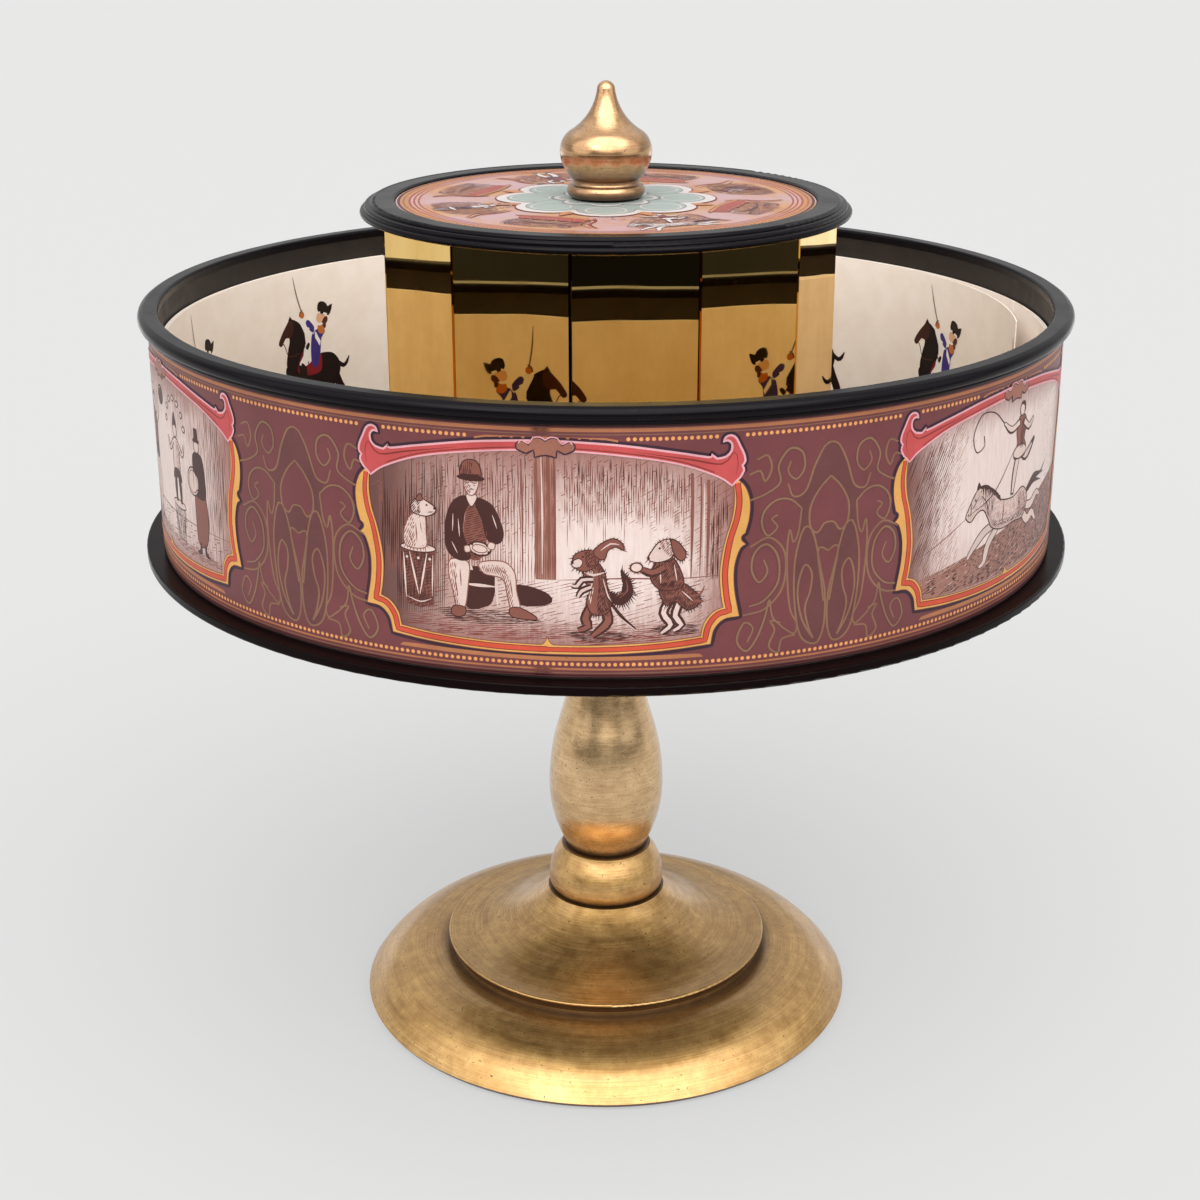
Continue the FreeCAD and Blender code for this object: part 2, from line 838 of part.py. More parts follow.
make_foot()
make_column()
make_bearing()
make_drum()
make_mirror_prism()
make_lid()
make_strips()
doc.recompute()

for thing in doc.Objects:
    if {"Invalid", "Error"} & set(thing.State):
        raise RuntimeError(f"{thing.Label}: failed to recompute")
os.makedirs("parts", exist_ok=True)
for piece in pieces:
    check(piece)
for piece in pieces:
    piece.Shape.exportStep(f"parts/{piece.Label}.step")
print(f"{len(pieces)} sub-parts written")
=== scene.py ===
"""The looks of the tabletop praxinoscope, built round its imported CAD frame.

Printed artwork is drawn in millimetres on a flat sheet, one mesh for each ink, and laid on the drum,
the picture strips and the lid. Everything else is the CAD node with a procedural finish.
"""
import math
import random

import bmesh
import bpy
import numpy as np
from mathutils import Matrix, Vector
from mathutils.geometry import delaunay_2d_cdt


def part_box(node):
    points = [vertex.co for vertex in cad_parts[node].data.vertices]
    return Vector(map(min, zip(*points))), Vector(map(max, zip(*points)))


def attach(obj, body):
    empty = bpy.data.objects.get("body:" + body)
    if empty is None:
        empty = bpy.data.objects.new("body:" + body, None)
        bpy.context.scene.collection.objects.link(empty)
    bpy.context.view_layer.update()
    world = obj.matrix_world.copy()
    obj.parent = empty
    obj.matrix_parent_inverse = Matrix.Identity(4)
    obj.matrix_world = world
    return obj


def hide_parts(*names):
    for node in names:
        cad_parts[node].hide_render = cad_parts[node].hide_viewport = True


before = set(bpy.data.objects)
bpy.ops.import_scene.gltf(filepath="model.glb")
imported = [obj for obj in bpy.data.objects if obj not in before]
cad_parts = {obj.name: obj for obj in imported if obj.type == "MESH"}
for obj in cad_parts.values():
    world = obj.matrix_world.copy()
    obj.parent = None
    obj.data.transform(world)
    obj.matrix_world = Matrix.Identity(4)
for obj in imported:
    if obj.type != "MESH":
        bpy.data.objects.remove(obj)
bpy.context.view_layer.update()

MM = 0.001
RNG = random.Random(11)


# ---- node materials ---------------------------------------------------------------------------


class Finish:
    """One node material round a Principled shader. Constants go straight on the shader's sockets."""

    def __init__(self, name, **sockets):
        self.material = bpy.data.materials.new(name)
        self.material.use_nodes = True
        self.tree = self.material.node_tree
        self.shader = self.tree.nodes["Principled BSDF"]
        for key, value in sockets.items():
            self.shader.inputs[key.replace("_", " ")].default_value = value

    def feed(self, socket, value):
        if isinstance(value, bpy.types.NodeSocket):
            self.tree.links.new(value, socket)
        elif value is not None:
            socket.default_value = value

    def node(self, kind, *inputs, **settings):
        made = self.tree.nodes.new("ShaderNode" + kind)
        for key, value in settings.items():
            setattr(made, key, value)
        for socket, value in zip(made.inputs, inputs):
            self.feed(socket, value)
        return made

    def math(self, operation, *inputs):
        return self.node("Math", *inputs, operation=operation).outputs[0]

    def span(self, value, low, high, new_low=0.0, new_high=1.0):
        made = self.node("MapRange", value, low, high, new_low, new_high)
        return made.outputs[0]

    def mix(self, share, first, second, blend="MIX"):
        made = self.node("MixRGB", share, first, second, blend_type=blend)
        return made.outputs[0]

    def noise(self, place, scale, detail=3.0, rough=0.5, warp=0.0):
        made = self.node("TexNoise")
        self.feed(made.inputs["Vector"], place)
        made.inputs["Scale"].default_value = scale
        made.inputs["Detail"].default_value = detail
        made.inputs["Roughness"].default_value = rough
        made.inputs["Distortion"].default_value = warp
        return made.outputs["Fac"]

    def place(self):
        return self.node("TexCoord").outputs["Object"]

    def stretched(self, x, y, z):
        return self.node("VectorMath", self.place(), (x, y, z), operation="MULTIPLY").outputs[0]

    def round_axis(self, around, across, warp=0.0):
        """Noise in streaks that run round the upright axis, with no seam."""
        split = self.node("SeparateXYZ", self.place()).outputs
        flat = self.node("CombineXYZ", split[0], split[1], 0.0).outputs[0]
        radius = self.node("VectorMath", flat, operation="LENGTH").outputs["Value"]
        unit = self.node("VectorMath", flat, operation="NORMALIZE").outputs[0]
        turn = self.node("SeparateXYZ", unit).outputs
        ring = self.node(
            "CombineXYZ",
            self.math("MULTIPLY", turn[0], around),
            self.math("MULTIPLY", turn[1], around),
            self.math("MULTIPLY", radius, across),
        ).outputs[0]
        made = self.node("TexNoise", noise_dimensions="4D")
        self.feed(made.inputs["Vector"], ring)
        self.feed(made.inputs["W"], self.math("MULTIPLY", split[2], across))
        made.inputs["Scale"].default_value = 1.0
        made.inputs["Detail"].default_value = 3.0
        made.inputs["Distortion"].default_value = warp
        return made.outputs["Fac"]

    def nearness(self, distance):
        """0 in the open, 1 down in a groove or against another piece."""
        made = self.node("AmbientOcclusion", samples=8)
        made.inputs["Distance"].default_value = distance
        return self.math("SUBTRACT", 1.0, made.outputs["AO"])

    def color(self, value):
        self.feed(self.shader.inputs["Base Color"], value)

    def roughness(self, value):
        self.feed(self.shader.inputs["Roughness"], value)

    def bump(self, height, strength, distance):
        made = self.node("Bump")
        made.inputs["Strength"].default_value = strength
        made.inputs["Distance"].default_value = distance
        self.feed(made.inputs["Height"], height)
        self.feed(self.shader.inputs["Normal"], made.outputs[0])


def put(name, data):
    """A new object in the scene."""
    made = bpy.data.objects.new(name, data)
    bpy.context.scene.collection.objects.link(made)
    return made


def shade(color, share):
    return tuple(c * share for c in color[:3]) + (1.0,)


def screen(red, green, blue):
    """A colour picked as it shows on a screen, 0 to 255, as the light values that Blender takes."""
    values = []
    for part in (red, green, blue):
        part = part / 255
        values.append(part / 12.92 if part <= 0.04045 else ((part + 0.055) / 1.055) ** 2.4)
    return (*values, 1.0)


def brass(name, bright, dark, shade_and_pit_color, rough, streak):
    """Satin brass brushed round the axis, clouded and pitted with age, lacquered, with painted shade that
    darkens it in the grooves and against other pieces.
    """
    made = Finish(name, Metallic=0.93, Anisotropic=0.2, Coat_Weight=0.6, Coat_Roughness=0.18)
    made.feed(made.shader.inputs["Tangent"], made.node("Tangent", direction_type="RADIAL").outputs[0])
    fine = made.round_axis(2.6, 3600.0)
    broad = made.round_axis(3.4, 300.0, 0.4)
    cloud = made.noise(made.place(), 30.0, 6.0, 0.66, 0.8)
    mottle = made.noise(made.place(), 240.0, 4.0, 0.7)
    grain = made.math("MULTIPLY_ADD", fine, 0.4, made.math("MULTIPLY", broad, 0.25))
    grain = made.math("MULTIPLY_ADD", mottle, 0.35, grain)
    tone = made.mix(made.span(grain, 0.36, 0.6), dark, bright)
    tone = made.mix(made.span(cloud, 0.45, 0.8, 0.0, 0.6), tone, dark)
    pits = made.noise(made.place(), 1100.0, 2.0, 0.5)
    spots = made.math("MULTIPLY", made.span(pits, 0.66, 0.71), made.span(mottle, 0.42, 0.55))
    # Painted shade: the brass darkens where ambient occlusion finds a groove or another piece close by, and
    # the pits darken it too; both go towards the same dark colour.
    shade_and_pits = made.math("MAXIMUM", made.span(made.nearness(0.014), 0.16, 0.55), spots)
    made.color(made.mix(made.math("MULTIPLY", shade_and_pits, 0.85), tone, shade_and_pit_color))
    worn = made.span(grain, 0.32, 0.66, rough - streak, rough + streak)
    made.roughness(made.math("ADD", worn, made.math("MULTIPLY", shade_and_pits, 0.2)))
    made.bump(made.math("MULTIPLY_ADD", spots, -1.2, made.math("MULTIPLY_ADD", mottle, 0.5, fine)),
        0.2, 0.00006)
    return made.material


def lacquer(name, color, worn, rough, grain, shine):
    """Turned and lacquered wood: faint tool rings, a slow ripple, scuffs a shade paler."""
    made = Finish(name, Specular_IOR_Level=shine)
    streaks = made.round_axis(3.0, 1500.0)
    cloud = made.noise(made.place(), 55.0, 4.0, 0.6)
    scuffs = made.noise(made.stretched(1.0, 1.0, 3.0), 310.0, 4.0, 0.7)
    scuffed = made.math("MULTIPLY", made.span(scuffs, 0.6, 0.75), made.span(cloud, 0.45, 0.65))
    made.color(made.mix(scuffed, color, worn))
    made.roughness(made.math("MULTIPLY_ADD", scuffed, 0.2,
        made.span(cloud, 0.3, 0.7, rough - 0.05, rough + 0.07)))
    ripple = made.noise(made.place(), 420.0, 2.0)
    made.bump(made.math("MULTIPLY_ADD", streaks, grain, ripple), 0.14, 0.00008)
    return made.material


def tinted_mirror():
    made = Finish("tinted_mirror", Metallic=1.0)
    wave = made.noise(made.stretched(1.0, 1.0, 0.55), 26.0, 1.0)
    smear = made.noise(made.stretched(1.0, 1.0, 0.3), 75.0, 5.0, 0.65)
    made.color(made.mix(made.span(smear, 0.4, 0.75), screen(246, 208, 130), screen(234, 190, 108)))
    made.roughness(made.span(smear, 0.45, 0.8, 0.012, 0.06))
    made.bump(wave, 0.4, 0.0007)
    return made.material


def plain(name, first, second, scale, rough, depth, metallic=0.0, stretch=(1.0, 1.0, 1.0)):
    """A mottled surface: two colours, roughness and relief that follow one noise."""
    made = Finish(name, Metallic=metallic)
    mottle = made.noise(made.stretched(*stretch), scale, 5.0, 0.6)
    made.color(made.mix(made.span(mottle, 0.35, 0.68), first, second))
    made.roughness(made.span(mottle, 0.3, 0.7, rough - 0.08, rough + 0.08))
    made.bump(mottle, 0.3, depth)
    return made.material


def printed(name, color, rough=0.42, spread=0.14):
    """Ink on satin paper: a fine screen of lighter and darker specks, and a slow change of density."""
    made = Finish(name, Specular_IOR_Level=0.26)
    cloud = made.noise(made.place(), 70.0, 3.0, 0.6)
    screen_dots = made.noise(made.place(), 2600.0, 1.0, 0.4)
    tone = made.mix(made.span(cloud, 0.3, 0.72), shade(color, 1 - spread), shade(color, 1 + spread))
    made.color(made.mix(made.span(screen_dots, 0.35, 0.7, 0.0, 0.5), tone, shade(color, 1 - 1.6 * spread)))
    made.roughness(made.span(cloud, 0.3, 0.7, rough - 0.05, rough + 0.05))
    made.bump(made.noise(made.place(), 1500.0, 2.0), 0.12, 0.00004)
    return made.material


def panel_paper(name, pool, reach, gloom, left_dark):
    """The tinted ground of an engraved picture: a pool of light, half-tones round it, burnt edges."""
    made = Finish(name, Specular_IOR_Level=0.4)
    art = made.node("UVMap", uv_map="Art").outputs[0]
    split = made.node("SeparateXYZ", art).outputs
    rags = made.node("VectorMath", art, (24.0, 3.0, 1.0), operation="MULTIPLY").outputs[0]
    ragged = made.noise(rags, 4.0, 5.0, 0.7)
    off = made.node("VectorMath", art, (pool[0], pool[1], 0.0), operation="SUBTRACT").outputs[0]
    squeezed = made.node("VectorMath", off, (0.55, 1.0, 0.0), operation="MULTIPLY").outputs[0]
    away = made.node("VectorMath", squeezed, operation="LENGTH").outputs["Value"]
    away = made.math("MULTIPLY_ADD", made.math("SUBTRACT", ragged, 0.5), 0.12, away)
    half = made.math("MULTIPLY", made.span(away, reach, reach + 0.16), gloom)
    paper = made.mix(made.span(ragged, 0.35, 0.65), screen(209, 193, 187), screen(200, 179, 172))
    toned = made.mix(half, paper, screen(148, 106, 97))
    side = made.span(made.math("ABSOLUTE", split[0]), 0.34, 0.50)
    up = made.span(split[1], 0.17, 0.30)
    down = made.math("SUBTRACT", 1.0, made.span(split[1], -0.285, -0.17))
    edge = made.math("MAXIMUM", made.math("MAXIMUM", side, up), down)
    edge = made.math("MULTIPLY_ADD", made.math("SUBTRACT", ragged, 0.5), 0.6, edge)
    burnt = made.mix(made.span(edge, 0.2, 1.15, 0.0, 0.9), toned, screen(119, 65, 54))
    dark = made.math("MULTIPLY", made.span(split[0], left_dark, left_dark - 0.16), 0.85)
    made.color(made.mix(dark, burnt, screen(83, 49, 45)))
    made.roughness(made.span(ragged, 0.3, 0.7, 0.4, 0.5))
    made.bump(made.noise(made.place(), 1500.0, 2.0), 0.12, 0.00004)
    return made.material


# ---- drawing on the flat ----------------------------------------------------------------------


def bend(p, q, r, s, t):
    """One coordinate of a curve through p, q, r and s, at the share t of the way from q to r."""
    slope, dip, twist = r - p, 2 * p - 5 * q + 4 * r - s, 3 * q - p - 3 * r + s
    return 0.5 * (2 * q + slope * t + dip * t * t + twist * t**3)


def smooth(points, closed=False, step=1.1):
    """A curve through the points, in short straight runs."""
    count = len(points)
    line = []
    for i in range(count if closed else count - 1):
        if closed:
            a, b, c, d = (points[(i + k) % count] for k in (-1, 0, 1, 2))
        else:
            b, c = points[i], points[i + 1]
            a = points[i - 1] if i else (2 * b[0] - c[0], 2 * b[1] - c[1])
            d = points[i + 2] if i + 2 < count else (2 * c[0] - b[0], 2 * c[1] - b[1])
        pieces = max(2, round(math.dist(b, c) / step))
        for k in range(pieces):
            t = k / pieces
            line.append(tuple(bend(*corners, t) for corners in zip(a, b, c, d)))
    if not closed:
        line.append(tuple(points[-1]))
    return line


def blob(points):
    return smooth(points, closed=True)


def joined(*runs, step=1.1):
    """Smooth runs that meet at sharp corners. Each run starts where the one before ends."""
    line = smooth(runs[0], step=step)
    for run in runs[1:]:
        line += smooth([line[-1], *run], step=step)[1:]
    return line


def flipped(points):
    return [(-x, y) for x, y in reversed(points)]


def oval(x, y, wide, high, tilt=0.0, count=20):
    turn = math.radians(tilt)
    around = [2 * math.pi * k / count for k in range(count)]
    return [
        (
            x + wide * math.cos(a) * math.cos(turn) - high * math.sin(a) * math.sin(turn),
            y + wide * math.cos(a) * math.sin(turn) + high * math.sin(a) * math.cos(turn),
        )
        for a in around
    ]


def within(points, outline):
    """Which of the points lie inside a closed outline."""
    points = np.asarray(points, float)
    ends = np.asarray(outline, float)
    x0, y0 = ends[:, 0], ends[:, 1]
    x1, y1 = np.roll(x0, -1), np.roll(y0, -1)
    x, y = points[:, :1], points[:, 1:2]
    spans = (y0 > y) != (y1 > y)
    with np.errstate(divide="ignore", invalid="ignore"):
        cross = x0 + (y - y0) * (x1 - x0) / (y1 - y0)
    return (spans & (x < cross)).sum(1) % 2 == 1


class Print:
    """Flat artwork in millimetres, kept by ink. Ink drawn later lies a hair above what is under it.

    A point is x, y, where it was drawn (u, v) and its level.
    """

    def __init__(self):
        self.inks = {}
        self.level = self.base = self.top = 0
        self.last = self.clip = None

    def add(self, ink, points, faces):
        if ink != self.last:
            self.level += 1
            self.top = max(self.top, self.level)
            self.last = ink
        known, made = self.inks.setdefault(ink, ([], []))
        base = len(known)
        known.extend((*p, self.level) for p in points)
        made.extend([base + i for i in face] for face in faces)

    def settle(self):
        """What is drawn so far is the background of all that follows."""
        self.base = self.level = self.top

    def figure(self):
        """What follows overlaps only the background, not the figures before it."""
        self.level = self.base
        self.last = None

    def fill(self, ink, outline, slices=3.0):
        corners = [Vector(p) for p in outline]
        edges = [(i, (i + 1) % len(corners)) for i in range(len(corners))]
        low, high = (f(p[1] for p in outline) for f in (min, max))
        left, right = (f(p[0] for p in outline) for f in (min, max))
        for k in range(math.ceil(left / slices), math.floor(right / slices) + 1):
            corners += [Vector((k * slices, low - 1)), Vector((k * slices, high + 1))]
            edges.append((len(corners) - 2, len(corners) - 1))
        found = delaunay_2d_cdt(corners, edges, [], 0, 1e-4)
        places, faces = [tuple(p) for p in found[0]], found[2]
        middles = [[sum(places[i][k] for i in f) / 3 for k in (0, 1)] for f in faces]
        kept = [f for f, inside in zip(faces, within(middles, outline)) if inside]
        used = sorted({i for f in kept for i in f})
        number = {i: n for n, i in enumerate(used)}
        self.add(ink, [places[i] * 2 for i in used], [[number[i] for i in f] for f in kept])

    def line(self, ink, points, width, start=1.0, end=1.0, closed=False):
        """A pen stroke. start and end are its width there, as a share of the middle's."""
        path = np.asarray(points, float)
        if closed:
            ahead, behind = np.roll(path, -1, 0), np.roll(path, 1, 0)
        else:
            ahead, behind = np.vstack([path[1:], path[-1:]]), np.vstack([path[:1], path[:-1]])
        along = ahead - behind
        along /= np.maximum(np.linalg.norm(along, axis=1, keepdims=True), 1e-9)
        t = np.linspace(0, 1, len(path))
        share = np.minimum(1, np.minimum(start + (1 - start) * t / 0.4, end + (1 - end) * (1 - t) / 0.4))
        side = np.stack([-along[:, 1], along[:, 0]], 1) * (width / 2 * share)[:, None]
        both = [tuple(p) * 2 for p in np.vstack([path + side, path - side])]
        count = len(path)
        runs = range(count if closed else count - 1)
        self.add(ink, both, [[i, count + i, count + (i + 1) % count, (i + 1) % count] for i in runs])

    def stroke(self, ink, points, width, start=0.3, end=0.3, step=1.4):
        self.line(ink, smooth(points, step=step), width, start, end)

    def dot(self, ink, x, y, radius, count=8):
        self.add(ink, [p * 2 for p in oval(x, y, radius, radius, count=count)], [list(range(count))])

    def shape(self, fill, line, points, width=0.3, curved=True):
        """A filled outline with a drawn edge."""
        outline = smooth(points, closed=True, step=0.9) if curved else points
        if fill:
            self.fill(fill, outline)
        if line:
            self.line(line, outline, width, closed=True)

    def fur(self, ink, outline, length, width=0.35, every=0.8, lean=0.7):
        """Short tufts that stand out along a closed outline."""
        line = smooth(outline, closed=True, step=every)
        middle = np.mean(line, 0)
        for x, y in line:
            away = np.array([x, y]) - middle
            away /= max(np.linalg.norm(away), 1e-6)
            away += lean * (RNG.random() - 0.5) + np.array([0, -0.35])
            tip = (x + away[0] * length * (0.5 + RNG.random()), y + away[1] * length * (0.5 + RNG.random()))
            root = (x - away[0] * 0.5, y - away[1] * 0.5)
            self.line(ink, [root, (x, y), tip], width, 0.8, 0.15)

    def hatch(self, ink, outline, angle, gap, width, longest=9.0, weight=None, ragged=0.25):
        """An engraver's shading: broken strokes across an outline. weight(x, y) thins them, 0 to 1."""
        turn = math.radians(angle)
        cos, sin = math.cos(turn), math.sin(turn)
        flat = [(x * cos + y * sin, y * cos - x * sin) for x, y in outline]
        y = min(p[1] for p in flat) + gap * RNG.random()
        top = max(p[1] for p in flat)
        while y < top:
            crossings = []
            for (x0, y0), (x1, y1) in zip(flat, flat[1:] + flat[:1]):
                if (y0 > y) != (y1 > y):
                    crossings.append(x0 + (y - y0) * (x1 - x0) / (y1 - y0))
            crossings.sort()
            for left, right in zip(crossings[::2], crossings[1::2]):
                x = left
                while x < right - 0.5:
                    end = min(right, x + longest * (0.45 + 0.55 * RNG.random()))
                    drift = gap * ragged * (RNG.random() - 0.5)
                    middle = (x + end) / 2
                    place = (middle * cos - y * sin, middle * sin + y * cos)
                    share = weight(*place) if weight else 1.0
                    if share > 0.12 + 0.1 * RNG.random():
                        run = [(x, y), (middle, y + drift), (end, y + drift * 0.4)]
                        line = [(px * cos - py * sin, px * sin + py * cos) for px, py in run]
                        if self.clip and not within(line, self.clip).all():
                            x = end
                            continue
                        self.line(ink, line, width * (0.35 + 0.65 * share), 0.25, 0.25)
                    x = end + 0.5 * RNG.random()
            y += gap * (0.8 + 0.4 * RNG.random())

    def stamp(self, other, places, inks=None):
        """Copies another sheet to each place (x, y, scale, turn). inks gives some inks another name."""
        for x, y, scale, turn in places:
            cos, sin = scale * math.cos(turn), scale * math.sin(turn)
            for ink, (points, faces) in other.inks.items():
                known, made = self.inks.setdefault((inks or {}).get(ink, ink), ([], []))
                base = len(known)
                for px, py, u, v, level in points:
                    known.append((x + px * cos - py * sin, y + px * sin + py * cos, u, v, self.base + level))
                made.extend([base + i for i in face] for face in faces)
        self.top = max(self.top, self.base + other.top)

    def lay(self, name, body, finishes, surface):
        """Makes one mesh for each ink."""
        for ink, (points, faces) in self.inks.items():
            flat = np.array(points, float)
            faces = [f if turns_left(flat, f) else f[::-1] for f in faces]
            mesh = bpy.data.meshes.new(f"{name}_{ink}")
            mesh.from_pydata([surface(x, y, level * INK_STEP) for x, y, _, _, level in flat], [], faces)
            layer = mesh.uv_layers.new(name="Art")
            corners = np.array([loop.vertex_index for loop in mesh.loops])
            layer.data.foreach_set("uv", (flat[corners, 2:4] * 0.01).ravel())
            mesh.materials.append(finishes[ink])
            mesh.shade_smooth()
            piece = put(f"{name}_{ink}", mesh)
            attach(piece, body)


def turns_left(points, face):
    ring = points[face, :2]
    ahead = np.roll(ring, -1, 0)
    return float((ring[:, 0] * ahead[:, 1] - ring[:, 1] * ahead[:, 0]).sum()) >= 0


# ---- surfaces to print on ---------------------------------------------------------------------

INK_STEP = 0.003 * MM
INK_CLEARANCE = 0.012 * MM
label_low, label_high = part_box("drum_label")
LABEL_RADIUS = (label_high.x - label_low.x) / 2
LABEL_BOTTOM = label_low.z
LABEL_MIDDLE = (label_low.z + label_high.z) / 2
LABEL_HEIGHT = label_high.z - label_low.z
AROUND = 2 * math.pi * LABEL_RADIUS / MM
FIRST_PANEL = math.radians(-6.2)


def on_label(x, y, lift):
    """Round the drum's outside. x runs to the right from the front panel's middle, y up from mid height."""
    turn = FIRST_PANEL + x * MM / LABEL_RADIUS
    radius = LABEL_RADIUS + INK_CLEARANCE + lift
    return (radius * math.sin(turn), -radius * math.cos(turn), LABEL_MIDDLE + y * MM)


def sheet_ring(name, inner, outer, bottom, top, finish, body, turns=360):
    """A closed thin-walled ring with rounded top and bottom edges."""
    edge = min(0.25 * (outer - inner), 0.3 * MM)
    profile = [
        (inner, bottom + edge), (inner + edge, bottom), (outer - edge, bottom), (outer, bottom + edge),
        (outer, top - edge), (outer - edge, top), (inner + edge, top), (inner, top - edge),
    ]
    verts, faces = [], []
    for k in range(turns):
        a = 2 * math.pi * k / turns
        verts += [(r * math.sin(a), -r * math.cos(a), z) for r, z in profile]
    size = len(profile)
    for k in range(turns):
        here, there = k * size, ((k + 1) % turns) * size
        for i in range(size):
            j = (i + 1) % size
            faces.append((here + i, here + j, there + j, there + i))
    mesh = bpy.data.meshes.new(name)
    mesh.from_pydata(verts, [], faces)
    mesh.validate()
    mesh.materials.append(finish)
    piece = put(name, mesh)
    mesh.shade_smooth()
    mesh.set_sharp_from_angle(angle=math.radians(30))
    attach(piece, body)
    return piece


# ---- the drum's printed label -----------------------------------------------------------------
# Heights below are from the middle of the label, 216.5 mm above the table.

HALF = LABEL_HEIGHT / MM / 2

gold_side = joined(
    [(-51.6, 19.5), (-53.6, 17.4), (-55.0, 13.4), (-54.9, 8.6), (-53.9, 4.4)],
    [(-52.9, 3.6), (-52.9, 2.4), (-54.1, 1.2)],
    [(-52.6, 0.2), (-51.4, -3.0), (-50.9, -6.5), (-51.2, -12.0), (-52.7, -19.4)],
    [(-48.4, -19.9), (-45.7, -22.6), (-44.7, -26.9)],
)
gold_foot = [(-44.7, -26.9), (-32, -28.1), (-16, -28.9), (0, -29.1)]
red_side = joined(
    [(-51.4, 18.6), (-52.0, 13.6), (-51.4, 8.6), (-49.9, 3.6), (-48.9, -1.6), (-48.4, -7.0), (-49.0, -13.5),
        (-49.9, -17.6)],
    [(-46.6, -18.4), (-44.1, -21.4), (-43.1, -25.6)],
    [(-32, -26.7), (-16, -27.5), (0, -27.7)],
)
inner_side = joined(
    [(-50.4, 18.4), (-50.6, 13.4), (-50.0, 8.6), (-48.5, 3.6), (-47.4, -1.6), (-46.9, -7.0), (-47.4, -13.0),
        (-48.1, -16.4)],
    [(-45.2, -17.6), (-42.8, -20.6), (-41.9, -24.4)],
    [(-30, -25.5), (-15, -26.2), (-1.7, -26.4)],
    [(-0.7, -25.6), (0, -24.1)],
)
crest_top = joined(
    [(-52.0, 20.0), (-53.1, 22.0), (-52.6, 23.4)],
    [(-53.4, 24.6), (-53.0, 26.6), (-51.9, 28.8), (-50.8, 31.0), (-49.4, 31.9), (-47.9, 31.5), (-47.3, 30.2)],
    [(-48.4, 30.6), (-49.6, 29.6), (-49.5, 27.6), (-48.0, 26.1), (-45.6, 25.7)],
    [(-44.0, 27.0)],
    [(-43.6, 26.2), (-35.0, 27.8), (-20.8, 30.0), (-7.7, 31.0), (0, 31.2)],
)
crest_low = joined(
    [(-52.0, 20.0), (-51.0, 19.2), (-49.9, 18.0)],
    [(-45.8, 20.8), (-36.4, 24.4), (-25.6, 26.6), (-11.6, 28.2), (0, 28.6)],
)


def border(art):
    """The lines and beads along both edges of the label, all the way round."""
    turns = [k * AROUND / 360 for k in range(360)]
    for y, width, ink in (
        (HALF - 1.5, 1.0, "orange"), (HALF - 2.7, 0.25, "tan"), (HALF - 0.45, 0.4, "plum"),
        (-HALF + 2.3, 0.55, "orange"), (-HALF + 1.2, 0.3, "tan"), (-HALF + 0.5, 0.5, "plum"),
    ):
        ring = [(x, y - width / 2) * 2 for x in turns] + [(x, y + width / 2) * 2 for x in turns]
        art.add(ink, ring, [[i, (i + 1) % 360, 360 + (i + 1) % 360, 360 + i] for i in range(360)])
    beads = 6 * round(AROUND / 6 / 1.68)
    panel = AROUND / 6
    for k in range(beads):
        x = AROUND * k / beads
        art.dot("beads", x, -HALF + 3.75, 0.56)
        near = abs((x + panel / 2) % panel - panel / 2)
        if 20.6 < near < 46.8 or near > 52.9:
            art.dot("beads", x, HALF - 3.95, 0.56)


